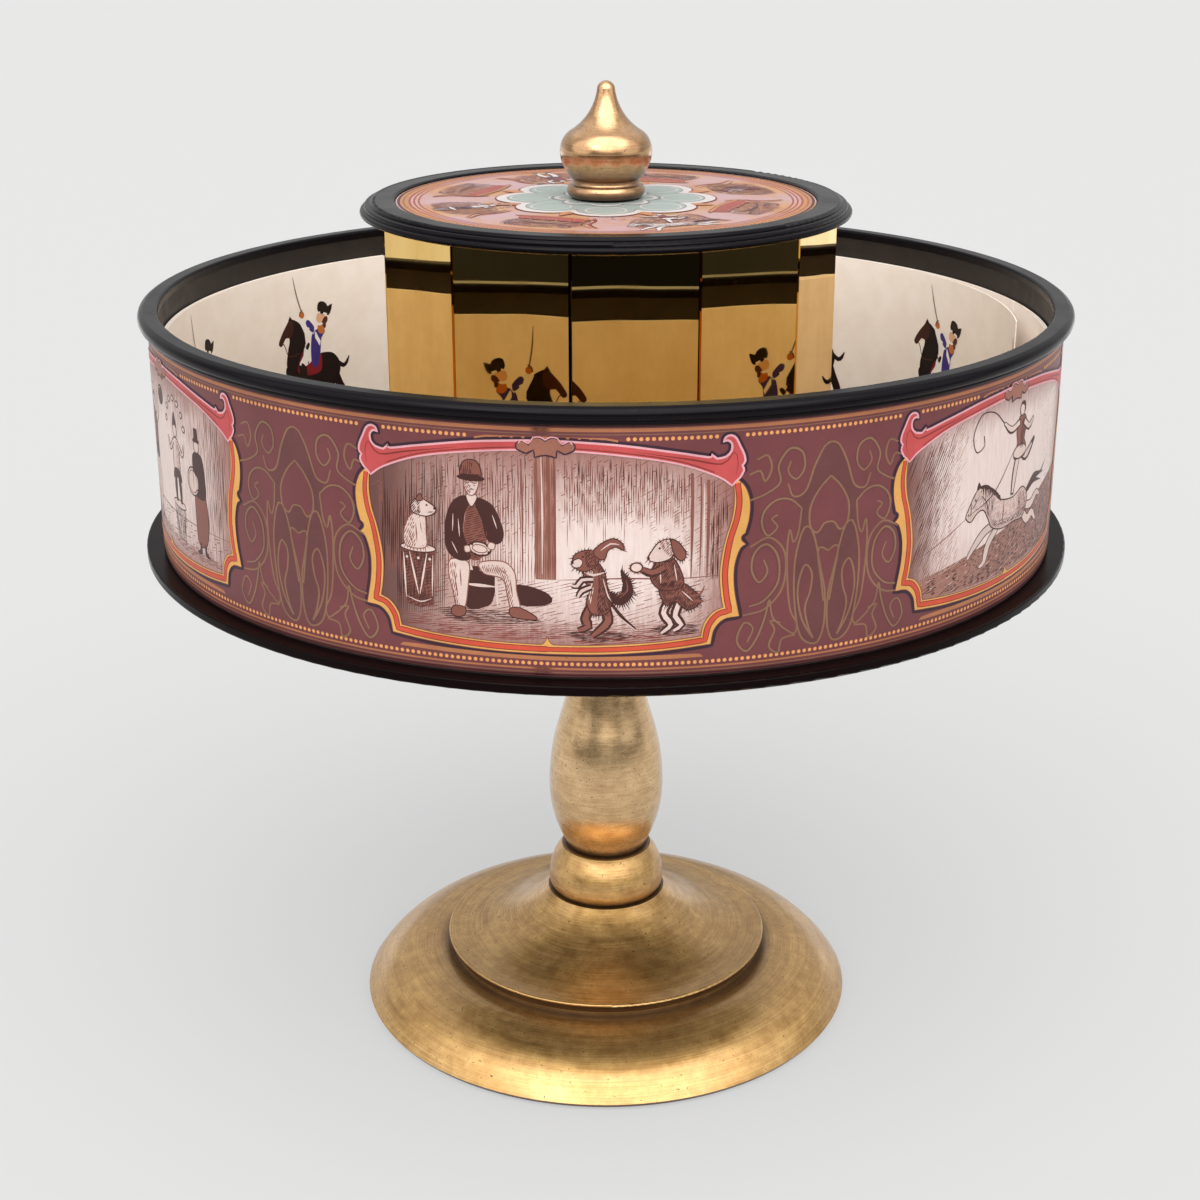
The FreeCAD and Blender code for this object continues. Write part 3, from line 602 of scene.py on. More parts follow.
def panel_frame():
    """One picture frame round (0, 0): what lies under the picture, what lies over it, and its opening."""
    art = Print()
    gold = gold_side + smooth(gold_foot)[1:]
    outer = gold + flipped(gold)[1:] + flipped(crest_top)[1:-1] + crest_top[::-1][1:]
    art.line("shadow", outer, 2.1, closed=True)
    bar = [(-19.2, HALF - 4.2), (-16, HALF - 3.6), (0, HALF - 3.4), (16, HALF - 3.6), (19.2, HALF - 4.2)]
    art.fill("orange", bar + [(-x, y - 0.55) for x, y in bar])
    foot = [(-42.6, -HALF + 5.5), (-37.5, -HALF + 6.3), (0, -HALF + 5.9), (37.5, -HALF + 6.3),
        (42.6, -HALF + 5.5)]
    art.fill("orange", smooth(foot) + [(42.6, -HALF + 5.2), (0, -HALF + 4.7), (-42.6, -HALF + 5.2)])
    under, art = art, Print()
    opening = inner_side + flipped(inner_side)[1:] + flipped(crest_low)[::-1][:-1] + crest_low[::-1]
    moulding = gold + inner_side[::-1]
    for half in (moulding, flipped(moulding)):
        art.fill("gold", half)
    for points in (gold, inner_side):
        for run in (points, flipped(points)):
            art.line("umber", run, 0.22)
    for run in (red_side, flipped(red_side)):
        art.line("rust", run, 1.75, 0.8, 1.0)
        art.line("red", run, 1.25, 0.8, 1.0)
    crest = crest_low[::-1][:-1] + crest_top + flipped(crest_top)[1:-1] + flipped(crest_low)[::-1][:-1]
    art.fill("coral", crest)
    for run in (crest_top, flipped(crest_top)):
        art.line("blush", run, 0.6)
    for run in (crest_low, flipped(crest_low)):
        art.line("blush", run, 0.5)
        art.line("rust", [(x, y + 0.75) for x, y in run if abs(x) < 45 and abs(x) > 7], 0.3)
    for side in (1, -1):
        inset = [(side * x, y) for x, y in ((-50.9, 20.9), (-51.4, 24.4), (-50.3, 27.3), (-47.0, 24.2),
            (-38, 25.9), (-24, 28.3))]
        art.stroke("rust", inset, 0.45, 0.2, 0.1)
    boss = joined(
        [(-7.6, 28.6), (-7.9, 30.0), (-6.4, 31.0), (-4.4, 29.9)],
        [(-3.6, 31.6), (-1.6, 32.0), (0, 31.1)],
        [(1.6, 32.0), (3.6, 31.6), (4.4, 29.9)],
        [(6.4, 31.0), (7.9, 30.0), (7.6, 28.6)],
        [(5.0, 27.6), (3.2, 28.6), (2.9, 26.6)],
        [(0, 27.2), (-2.9, 26.6)],
        [(-3.2, 28.6), (-5.0, 27.6), (-7.6, 28.6)],
    )
    art.fill("wood", boss[:-1])
    art.line("shadow", boss[:-1], 0.42, closed=True)
    art.stroke("blush", [(-7.2, 30.3), (-6.3, 31.2), (-4.5, 30.3), (-3.3, 31.9), (-1.4, 32.2), (0, 31.4)],
        0.35, 1, 1)
    art.stroke("blush", [(0, 31.4), (1.4, 32.2), (3.3, 31.9), (4.5, 30.3), (6.3, 31.2), (7.2, 30.3)],
        0.35, 1, 1)
    return under, art, opening


def ornament():
    """The linear tracery between two frames, round (0, 0)."""
    art = Print()
    arch = [(-23.6, 13.4), (-19.0, 15.0), (-15.2, 17.8), (-15.8, 22.6), (-12.6, 26.9), (-8.9, 25.6),
        (-8.2, 21.0), (-10.6, 18.2), (-13.0, 20.6), (-12.2, 23.4)]
    crown = [(-12.9, 17.2), (-11.2, 13.4), (-7.6, 14.6), (-5.0, 21.5), (-2.2, 26.6), (0, 27.6)]
    drop = [(0, 18.0), (-3.4, 14.6), (-6.0, 9.6), (-5.8, 4.2), (-3.6, 2.2), (-1.6, 4.6), (0, 4.9)]
    hook = [(-8.6, 9.8), (-12.0, 12.6), (-16.0, 12.9), (-19.4, 10.2), (-20.2, 6.4), (-18.4, 3.0),
        (-15.6, 5.2), (-17.4, 7.6), (-15.6, 8.6)]
    stem = [(-8.6, 9.8), (-9.4, 3.0), (-10.8, 0.4), (-12.0, 4.0), (-12.6, -4.0), (-11.4, -18.0),
        (-9.0, -23.6), (-9.8, -26.4), (-13.4, -24.0)]
    leaf = [(-2.9, -30.2), (-7.6, -27.6), (-9.8, -18.0), (-10.2, -6.0), (-8.4, 2.6), (-6.6, 4.4),
        (-4.6, 1.6), (-2.2, -8.0), (-0.5, -16.0), (-0.6, -25.4), (-2.9, -30.2)]
    seed = [(-3.8, -28.6), (-7.4, -22.6), (-9.0, -15.2), (-8.4, -9.6), (-6.8, -6.6), (-4.8, -9.4),
        (-5.2, -14.6), (-6.6, -19.2), (-5.4, -25.0), (-3.8, -28.6)]
    heart = [(0, -3.4), (-2.2, -2.2), (-3.2, -3.6), (-1.8, -12.0), (-0.9, -18.0)]
    spiral = [(-23.4, -17.0), (-19.0, -15.6), (-15.0, -10.6), (-15.2, -3.4), (-18.6, 0.6), (-22.0, -1.6),
        (-22.8, -6.4), (-20.6, -10.2), (-18.2, -7.4), (-19.4, -3.8)]
    outer_spiral = [(-25.0, -19.4), (-18.6, -18.0), (-13.6, -12.2), (-13.2, -2.6), (-17.8, 2.4), (-23.4, 0.2)]
    root = [(-13.4, -24.0), (-16.4, -20.6), (-17.4, -15.6), (-18.6, -20.6), (-20.8, -26.4), (-23.8, -30.0),
        (-26.6, -26.6), (-24.6, -21.6), (-22.0, -23.4), (-23.6, -27.4)]
    base = [(-9.4, -26.8), (-13.4, -27.6), (-14.4, -31.4), (-17.2, -29.2), (-15.6, -24.6), (-17.0, -21.8),
        (-14.0, -22.6)]
    tip = [(-22.0, 24.6), (-19.0, 25.6), (-17.8, 21.8), (-19.6, 18.4), (-21.0, 21.4), (-24.0, 20.6)]
    seeds, lines = [], []
    for side in (1, -1):
        outline = smooth([(side * x, y) for x, y in leaf[:-1]], closed=True)
        inside = smooth([(side * x, y) for x, y in seed[:-1]], closed=True)
        seeds.append(inside)
        lines += [outline, inside]
        body = smooth(crown, step=1.0) + [(0, 18.0)] + smooth(drop)[1:] + [(0, -3.4),
            (-2.2, -2.2)] + smooth(leaf[4:6]) + [(-8.4, 2.6), (-9.2, 4.0), (-8.6, 9.8)]
        art.fill("mauve", outline)
        art.fill("mauve", [(side * x, y) for x, y in body])
        for run, width in ((spiral, 1.7), (hook, 1.3), (arch, 1.3), (root, 1.3)):
            art.stroke("mauve", [(side * x, y) for x, y in run], width, 0.5, 0.4, step=1.0)
    for inside in seeds:
        art.fill("plum_fill", inside)
    for outline in lines:
        art.line("tan", outline, 0.55, closed=True)
    for side in (1, -1):
        for run in (arch, crown, drop, hook, stem, heart, spiral, outer_spiral, root, base, tip):
            art.stroke("tan", [(side * x, y) for x, y in run], 0.6, 0.8, 0.8, step=1.0)
    return art


# ---- the three engraved pictures --------------------------------------------------------------


def clamp(value):
    return min(1, max(0, value))


def pen(art, ink, width, *runs):
    for run in runs:
        art.stroke(ink, run, width)


def tub_terrier(art):
    """The tub and the terrier that sits on it."""
    side = [(-41.2, -1.4), (-31.2, -1.4), (-32.0, -17.4), (-36.0, -18.6), (-40.4, -17.6)]
    art.fill("umber", side)
    art.hatch("sepia", side, 86, 0.42, 0.34, 9.0)
    art.hatch("sepia", side, 20, 0.9, 0.3, 4.0)
    pen(art, "paper", 0.55, [(-38.8, -2.6), (-36.4, -14.6)], [(-33.6, -2.6), (-36.0, -14.6)],
        [(-40.6, -3), (-40.2, -16)])
    pen(art, "paper", 0.35, [(-31.8, -3), (-32.4, -15)], [(-40.0, -15.6), (-36.0, -16.8), (-32.6, -15.6)])
    for x in (-39.6, -36.2, -32.8):
        art.dot("paper", x, -4.2, 0.42, 6)
    art.shape("paper", "sepia", oval(-36.2, -1.2, 5.3, 1.25), 0.35, False)
    back = [(-39.8, -0.8), (-34.0, -0.9), (-33.6, 3.6), (-34.0, 8.4), (-37.6, 8.4), (-40.0, 4.4)]
    art.fur("umber", back, 0.8)
    art.shape("paper", "umber", back, 0.3)
    art.hatch("umber", blob([(-39.8, -0.8), (-37.0, -0.6), (-37.4, 7.6), (-40.0, 4.4)]), 64, 0.6, 0.32, 2.6)
    pen(art, "umber", 0.4, [(-36.6, 5.6), (-36.4, 0.4)], [(-35.2, 6.2), (-34.8, 0.0)],
        [(-38.6, 2.4), (-37.6, -0.4)])
    pen(art, "paper", 1.1, [(-35.4, 4.6), (-34.9, -0.4)])
    face = [(-37.6, 9.0), (-37.4, 12.0), (-35.0, 13.0), (-32.6, 12.0), (-30.6, 10.6), (-31.0, 9.2),
        (-33.6, 8.0)]
    art.fur("umber", face, 0.7)
    art.shape("paper", "sepia", face, 0.3)
    art.hatch("sepia", blob([(-37.6, 9.0), (-37.4, 12.0), (-35.2, 12.8), (-35.0, 8.6)]), 50, 0.45, 0.35, 2.4)
    art.shape("umber", "sepia", [(-36.4, 12.4), (-35.0, 14.4), (-34.4, 12.4)], 0.3)
    art.dot("sepia", -30.9, 10.5, 0.45, 6)
    art.dot("sepia", -33.2, 11.2, 0.32, 6)
    pen(art, "sepia", 0.3, [(-31.2, 9.5), (-33.0, 9.2)])


def trainer(art):
    """A chair and the trainer on it, in tail coat and bowler hat."""
    art.fill("sepia", blob([(-23.4, -5.9), (-14.2, -6.1), (-14.6, -13.2), (-16.5, -16.2), (-22.6, -16.6)]))
    art.fill("sepia", blob([(-9, -10), (-5, -9.6), (0.4, -11.6), (1.4, -14), (-3, -15.4), (-8, -14.8)]))
    art.shape("paper", "umber", [(-24.4, -4.8), (-13.0, -5.0), (-13.2, -6.2), (-24.3, -6.0)], 0.3, False)
    pen(art, "paper", 0.9, [(-14.0, -6.0), (-13.6, -16.0)], [(-22.8, -10.2), (-14.2, -10.4)])

    # the trainer: breeches, coat, waistcoat, head and hat
    art.shape("paper", "umber", [(-26.6, -3.5), (-21.6, -4.0), (-21.8, -10.5), (-22.9, -17.0),
        (-25.2, -17.2), (-26.2, -12.5), (-27.3, -7.5)], 0.32)
    art.shape("paper", "umber", [(-18.4, -3.8), (-12.0, -3.0), (-8.8, -5.8), (-8.2, -11.4), (-7.4, -16.0),
        (-9.8, -16.8), (-10.9, -12.4), (-12.1, -8.0), (-17.2, -6.8)], 0.32)
    art.shape("umber", "sepia", [(-26.2, -16.9), (-22.8, -17.0), (-22.9, -19.2), (-25.0, -20.0),
        (-26.8, -19.2)], 0.3)
    art.shape("umber", "sepia", [(-10.2, -16.4), (-7.4, -16.0), (-3.0, -18.4), (-3.4, -19.4),
        (-9.6, -18.8)], 0.3)
    art.hatch("umber", blob([(-26.8, -4.5), (-25.0, -4.6), (-25.2, -11), (-24.4, -16.6), (-25.6, -16.6),
        (-26.8, -8)]), 80, 0.5, 0.3, 3.0)
    art.hatch("umber", blob([(-17.6, -4.6), (-12.4, -4.2), (-10.4, -7.2), (-9.0, -16.0), (-9.9, -16.4),
        (-12.4, -7.6), (-17, -6.6)]), 70, 0.5, 0.3, 3.0)
    pen(art, "umber", 0.35, [(-25.6, -8), (-24.8, -14)], [(-10.0, -8), (-9.4, -13)],
        [(-24.0, -6), (-23.8, -11)], [(-13, -5), (-10.6, -7)])
    waistcoat = [(-21.4, 13.0), (-19.2, 12.8), (-17.2, 8.0), (-16.2, 3.2), (-18.0, -2.6), (-21.6, -2.4),
        (-22.6, 4.6)]
    art.shape("umber", None, waistcoat)
    art.hatch("sepia", blob(waistcoat), 20, 0.6, 0.25, 4.0)
    art.shape("sepia", None, [(-22.2, 15.0), (-25.4, 13.4), (-27.5, 9.2), (-28.2, 3.0), (-27.4, -1.4),
        (-24.2, -3.6), (-20.9, -2.8), (-21.6, 0.6), (-22.9, 5.0), (-22.2, 10.0), (-20.9, 13.0)])
    art.shape("sepia", None, [(-18.7, 14.6), (-15.0, 13.2), (-12.8, 9.6), (-11.5, 5.0), (-12.5, 2.2),
        (-15.2, 1.8), (-16.7, 4.2), (-17.6, 8.4), (-19.3, 12.6)])
    pen(art, "paper", 0.3, [(-25.6, 9.6), (-25.9, 4.6)], [(-24.2, 8.2), (-23.9, 3.2)],
        [(-14.6, 10.0), (-13.4, 6.2)], [(-26.2, 1.6), (-24.6, -1.6)])
    art.shape("paper", "sepia", [(-21.8, 15.2), (-18.8, 15.2), (-19.4, 13.0), (-20.6, 12.0)], 0.25)
    art.shape("paper", "sepia", oval(-18.3, 0.2, 3.1, 1.9, -8), 0.5, False)
    art.shape(None, "umber", oval(-18.3, 0.2, 2.1, 1.1, -8), 0.3, False)
    for x, y in ((-20.9, -0.6), (-19.6, -1.4), (-17.4, -1.6), (-15.8, -0.7), (-16.2, 1.2), (-20.4, 1.4)):
        art.dot("sepia", x, y, 0.4, 6)
    art.shape("paper", "umber", [(-15.6, 2.2), (-14.0, 1.8), (-14.4, 0.2), (-16.0, 0.6)], 0.25)
    art.shape("paper", "umber", [(-22.6, 0.6), (-21.2, 0.8), (-21.0, -0.8), (-22.4, -1.0)], 0.25)
    art.shape("paper", "umber", [(-22.2, 19.4), (-22.2, 17.2), (-21.2, 15.3), (-19.7, 15.2), (-18.6, 17.0),
        (-18.4, 19.4)], 0.3)
    art.hatch("umber", blob([(-22.2, 19.2), (-22.2, 17.2), (-21.2, 15.4), (-20.4, 16.6), (-20.8, 19.2)]),
        60, 0.42, 0.3, 2.0)
    art.hatch("umber", [(-22.1, 19.3), (-18.5, 19.3), (-18.5, 18.4), (-22.1, 18.4)], 10, 0.35, 0.3, 2.0)
    pen(art, "sepia", 0.35, [(-20.9, 16.7), (-20.2, 16.9), (-19.5, 16.7)], [(-21.2, 17.9), (-20.7, 17.9)],
        [(-19.7, 17.9), (-19.2, 17.9)])
    art.shape("umber", "sepia", [(-23.0, 20.2), (-23.1, 23.2), (-22.0, 24.7), (-20.2, 25.1), (-18.6, 24.6),
        (-17.7, 23.0), (-17.8, 20.2)], 0.3)
    art.hatch("sepia", [(-23, 20.2), (-19.6, 20.2), (-20, 24.8), (-23, 24)], 84, 0.5, 0.3, 5.0)
    art.fill("sepia", oval(-20.4, 20.0, 3.9, 0.95, -2))
    pen(art, "sepia", 0.7, [(-23.0, 21.0), (-20.4, 20.6), (-17.8, 21.0)])


def first_dog(art):
    """A shaggy dog on its hind legs."""
    tail = [(17.0, -13.6), (20.4, -14.6), (23.2, -11.6), (22.6, -7.4), (20.2, -5.0), (20.6, -8.6),
        (20.0, -11.4), (17.0, -11.0)]
    art.fur("sepia", tail, 1.5, 0.4, 0.6)
    art.fill("sepia", blob(tail))
    pen(art, "umber", 0.4, [(19.6, -12.6), (21.8, -10.4), (21.4, -7.4)], [(18.6, -12.0), (20.8, -11.0)])
    for run in ([(12.0, -15.0), (10.4, -18.6), (11.2, -20.8), (8.4, -22.0)],
        [(15.8, -15.4), (16.6, -19.2), (14.6, -21.6), (12.2, -23.6)]):
        art.stroke("sepia", run, 3.0, 1.0, 0.6)
        art.stroke("umber", run, 1.7, 1.0, 0.5)
    body = [(10.6, -3.4), (13.4, -2.2), (15.6, -5.0), (16.4, -9.2), (17.6, -13.0), (16.4, -16.8),
        (12.6, -17.4), (10.8, -14.0), (11.4, -10.0), (10.0, -7.0)]
    art.fur("sepia", body, 0.9)
    art.shape("umber", "sepia", body, 0.3)
    art.hatch("sepia", blob([(13.6, -2.6), (15.6, -5.0), (16.4, -9.2), (17.6, -13.0), (16.2, -16.6),
        (13.6, -16.8), (14.0, -9)]), 74, 0.42, 0.36, 3.0)
    art.hatch("paper", blob([(10.8, -4.0), (12.4, -3.4), (12.6, -9), (12.2, -14.6), (11.2, -12.0)]),
        80, 0.6, 0.34, 2.4)
    for run in ([(12.6, -7.2), (9.6, -7.4), (8.2, -9.2), (6.8, -9.0)],
        [(12.0, -9.4), (9.4, -10.6), (8.4, -12.4)]):
        art.stroke("sepia", run, 2.1, 1.0, 0.6)
        art.stroke("paper", run, 0.9, 0.8, 0.6)
    pen(art, "paper", 0.7, [(10.2, -5.2), (12.6, -6.0), (15.6, -5.2)])
    pen(art, "paper", 0.5, [(15.2, -7.0), (17.0, -13.0), (20.4, -18.6), (24.4, -22.2)])
    pen(art, "sepia", 0.9, [(16.4, -12.4), (20.0, -17.6), (24.2, -21.6)])
    face = [(7.2, -3.4), (7.4, -0.6), (9.6, 0.8), (12.6, 1.0), (14.2, -1.2), (13.0, -3.8), (9.8, -5.0)]
    art.fur("sepia", face, 0.9)
    art.shape("umber", "sepia", face, 0.3)
    art.hatch("sepia", blob([(10.4, 0.6), (13.0, 0.6), (14.0, -1.2), (12.8, -3.6), (10.8, -3.8)]),
        60, 0.42, 0.36, 2.2)
    art.shape("paper", "sepia", [(6.8, -2.4), (8.6, -1.3), (9.8, -2.2), (9.0, -3.8), (7.2, -3.8)], 0.28)
    art.dot("sepia", 7.0, -2.5, 0.45, 6)
    art.dot("sepia", 9.8, -0.8, 0.34, 6)
    ear = [(12.6, 0.6), (14.8, 3.0), (18.0, 4.4), (20.4, 3.0), (20.8, 1.0), (18.8, 2.0), (16.6, 1.0),
        (15.6, -1.6), (13.8, -1.2)]
    art.fur("umber", ear, 0.7)
    art.shape("umber", "sepia", ear, 0.3)
    pen(art, "paper", 0.45, [(14.6, 1.0), (17.2, 2.9), (19.6, 2.6)])


def second_dog(art):
    """A dog on its hind legs, in a jacket."""
    for run in ([(33.2, -13.4), (31.6, -17.2), (33.6, -20.6), (31.0, -23.0)],
        [(36.0, -14.0), (34.8, -18.2), (36.6, -20.8), (34.4, -22.4)]):
        art.stroke("sepia", run, 2.9, 1.0, 0.55)
        art.stroke("paper", run, 1.3, 1.0, 0.5)
    skirt = [(30.4, -9.4), (36.6, -8.6), (41.8, -13.8), (38.4, -16.6), (34.6, -13.8), (32.2, -15.0)]
    art.fur("sepia", skirt, 1.0)
    art.shape("umber", "sepia", skirt, 0.35)
    art.hatch("sepia", blob(skirt), 64, 0.45, 0.38, 3.0)
    jacket = [(29.2, -2.8), (33.4, -1.2), (36.0, -4.6), (36.8, -9.6), (31.2, -10.6), (28.0, -7.2)]
    art.shape("umber", "sepia", jacket, 0.35)
    art.hatch("sepia", blob(jacket), 58, 0.45, 0.36, 4.0)
    pen(art, "paper", 0.35, [(34.4, -3.4), (35.2, -8.0)], [(30.6, -4.6), (30.8, -8.6)],
        [(36.6, -11.0), (39.6, -14.0)])
    art.stroke("sepia", [(31.8, -4.0), (28.4, -5.6), (25.0, -4.2)], 2.5, 1.0, 0.7)
    art.stroke("umber", [(31.8, -4.0), (28.4, -5.4), (25.6, -4.2)], 1.4, 1.0, 0.7)
    paw = oval(24.2, -3.9, 1.6, 1.3)
    art.fur("umber", paw, 0.5)
    art.shape("paper", "sepia", paw, 0.35, False)
    pen(art, "umber", 0.7, [(38.6, -12.4), (41.6, -12.2), (42.8, -9.8)], [(39.6, -13.8), (42.6, -14.4)])
    face = [(27.4, -1.6), (28.6, 1.2), (30.6, 3.4), (33.6, 3.8), (35.2, 1.4), (33.6, -1.4), (30.0, -2.6)]
    art.fur("umber", face, 0.9)
    art.shape("paper", "sepia", face, 0.3)
    art.hatch("umber", blob([(30.4, 3.2), (33.6, 3.6), (35.0, 1.4), (33.6, -1.2), (31.4, 0.6)]),
        50, 0.5, 0.35, 2.0)
    ear = [(33.4, 3.6), (35.6, 2.8), (37.6, -0.4), (36.6, -2.4), (34.6, -1.0)]
    art.fur("sepia", ear, 0.7)
    art.shape("umber", "sepia", ear, 0.3)
    art.dot("sepia", 30.4, 1.4, 0.34, 6)
    art.dot("sepia", 27.4, -1.4, 0.45, 6)
    pen(art, "sepia", 0.4, [(30.2, -2.4), (33.0, -2.4), (35.0, -1.0)])


def dancing_dogs(art, opening):
    """A trainer on a chair, a terrier on a tub, and two dogs dancing on their hind legs."""
    light = (15.0, -2.0)

    def gloom(x, y):
        return clamp((math.dist((x * 0.55, y), (light[0] * 0.55, light[1])) - 9) / 14)

    art.hatch("umber", opening, 30, 0.8, 0.3, 12.0, lambda x, y: gloom(x, y) * (1.0 if y > -8 else 0.35))
    art.hatch("umber", [(-52, -9), (-3, -9), (-3, 30), (-52, 30)],
        89, 0.75, 0.34, 15.0, lambda x, y: 0.35 + 0.65 * gloom(x, y))
    art.hatch("sepia", [(-52, -20), (-29, -20), (-27, 30), (-52, 30)],
        88, 0.6, 0.42, 20.0, lambda x, y: min(1, (-25 - x) / 13))
    art.hatch("sepia", [(-30, 8), (-3, 8), (-3, 30), (-30, 30)],
        91, 1.5, 0.32, 10.0, lambda x, y: (y - 6) / 22)
    art.hatch("umber", [(5, 2), (39, 2), (39, 30), (5, 30)],
        90, 0.6, 0.36, 9.0, lambda x, y: clamp((y - 6 + 2.5 * math.sin(x * 1.3)) / 10))
    art.hatch("sepia", [(8, 14), (39, 14), (39, 30), (8, 30)],
        90, 1.1, 0.34, 7.0, lambda x, y: clamp((y - 14 + 3 * math.sin(x * 0.9)) / 14))
    art.hatch("umber", [(44, -8), (52, -8), (52, 26), (44, 26)], 90, 0.6, 0.42, 14.0)
    art.hatch("sepia", [(44, -8), (52, -8), (52, 26), (44, 26)], 90, 1.3, 0.4, 10.0)
    art.hatch("umber", [(-50, -27), (50, -27), (50, -8), (-50, -8)],
        15, 1.0, 0.3, 14.0, lambda x, y: 0.35 + 0.65 * min(1, abs(x - 14) / 40))
    art.hatch("rust", [(-50, -28), (50, -28), (50, -20), (-50, -20)],
        4, 0.6, 0.34, 12.0, lambda x, y: min(1, max(0.1, (-19 - y) / 6)))
    post = [(-3.0, -7.6), (2.6, -7.6), (2.8, 28.6), (-3.4, 28.6)]
    art.fill("umber_wash", post)
    art.hatch("umber", post, 90, 0.5, 0.36, 12.0)
    for x, high, width in ((-2.6, 28, 0.6), (0.6, 28, 0.9), (2.2, 28, 0.5), (39.0, 22, 0.8),
        (41.4, 21, 0.5), (43.4, 20, 0.9), (-6.6, 26, 0.4)):
        art.stroke("umber", [(x, high), (x + 0.2, 12), (x, -7.6)], width, 1.0, 0.3)
    pen(art, "paper", 0.5, [(-1.2, 27), (-1.0, 10), (-1.2, -6)], [(42.4, 19), (42.4, 4), (42.4, -7)])
    art.stroke("umber", [(3, -7.6), (20, -7.0), (36, -7.4), (49, -7.0)], 0.4)
    art.hatch("sepia", blob([(5, -22.6), (16, -22.2), (24, -23.8), (12, -25.4)]), 4, 0.42, 0.35, 6.0)
    art.hatch("sepia", blob([(28, -21.6), (38, -20.6), (46, -22.4), (34, -24.0)]), 4, 0.42, 0.35, 6.0)
    art.hatch("sepia", blob([(-30, -17.6), (-10, -17.4), (-2, -20.0), (-24, -21.4)]), 4, 0.5, 0.35, 8.0)
    art.settle()
    for draw in (tub_terrier, trainer, first_dog, second_dog):
        art.figure()
        draw(art)


def gallop(art):
    """A horse at the gallop."""
    body = [(-24.4, -3.8), (-23.6, -1.6), (-20.2, 3.0), (-17.4, 4.4), (-13.4, 3.6), (-9.4, 0.2),
        (-5.8, -2.2), (2.0, -3.4), (8.6, -1.8), (12.8, -4.6), (13.2, -8.4), (10.4, -11.6), (4.0, -11.4),
        (-4.0, -11.6), (-10.2, -9.8), (-12.8, -6.4), (-15.6, -3.2), (-18.8, -3.4), (-21.8, -5.4)]
    for run, width in (
        ([(-8.4, -9.0), (-14.6, -10.4), (-20.4, -14.4), (-22.4, -16.6)], 2.5),
        ([(-6.4, -10.0), (-11.8, -14.6), (-13.6, -19.6), (-16.0, -20.6)], 2.5),
        ([(9.8, -9.6), (14.6, -13.6), (19.0, -12.6), (22.8, -15.6)], 2.7),
        ([(11.2, -8.2), (17.2, -9.4), (22.6, -7.2), (25.8, -8.6)], 2.5),
    ):
        art.stroke("sepia", run, width + 0.7, 0.9, 0.5)
        art.stroke("paper", run, width - 0.1, 0.9, 0.4)
    art.shape("paper", "sepia", body, 0.42)
    art.hatch("umber", blob(body), 40, 0.7, 0.34, 4.0, lambda x, y: 0.95 if y < -5.6 else 0.35)
    art.hatch("sepia", blob([(-18.0, 3.8), (-13.4, 3.2), (-9.4, 0.0), (-12.0, -6.0), (-15.0, -3.0)]),
        100, 0.8, 0.34, 3.0)
    art.hatch("umber", blob([(6.0, -2.6), (12.4, -4.6), (12.8, -8.4), (9.0, -10.6), (6.6, -7.0)]),
        60, 0.6, 0.34, 3.0)
    art.hatch("sepia", blob([(-10, -9.6), (10.4, -11.2), (12.6, -8.4), (2, -9.2), (-8, -8)]),
        10, 0.55, 0.32, 5.0)
    pen(art, "sepia", 0.45, [(-16.8, 1.4), (-14.0, -1.4), (-12.6, -5.4)], [(-10.4, -1.0), (-10.8, -5.6)],
        [(8.0, -3.6), (6.6, -7.6), (8.2, -10.8)], [(-3.6, -3.0), (-4.0, -10.6)])
    for k in range(9):
        x, y = -18.6 + k * 1.25, 4.2 - 0.065 * k * k
        pen(art, "sepia", 0.9, [(x, y), (x + 2.0, y - 0.4 - 0.1 * k), (x + 2.6, y - 2.8)])
    art.shape("sepia", None, [(-19.6, 3.6), (-18.9, 6.0), (-17.6, 4.2)])
    art.dot("sepia", -20.0, 0.8, 0.42, 6)
    art.dot("sepia", -23.2, -3.0, 0.36, 6)
    pen(art, "sepia", 0.4, [(-21.8, 0.2), (-22.2, -3.6)], [(-21.4, -1.6), (-18.0, 1.8)],
        [(-22.6, -3.2), (-10.0, 1.0), (1.6, 12.0)])
    for run in ([(12.4, -3.6), (18.6, -0.6), (25.6, -1.4), (31.0, 1.4)],
        [(12.8, -4.4), (19.0, -2.6), (26.6, -4.0)], [(12.6, -4.0), (20.0, -1.6), (29.4, -2.0)]):
        art.stroke("sepia", run, 1.2, 0.8, 0.1)


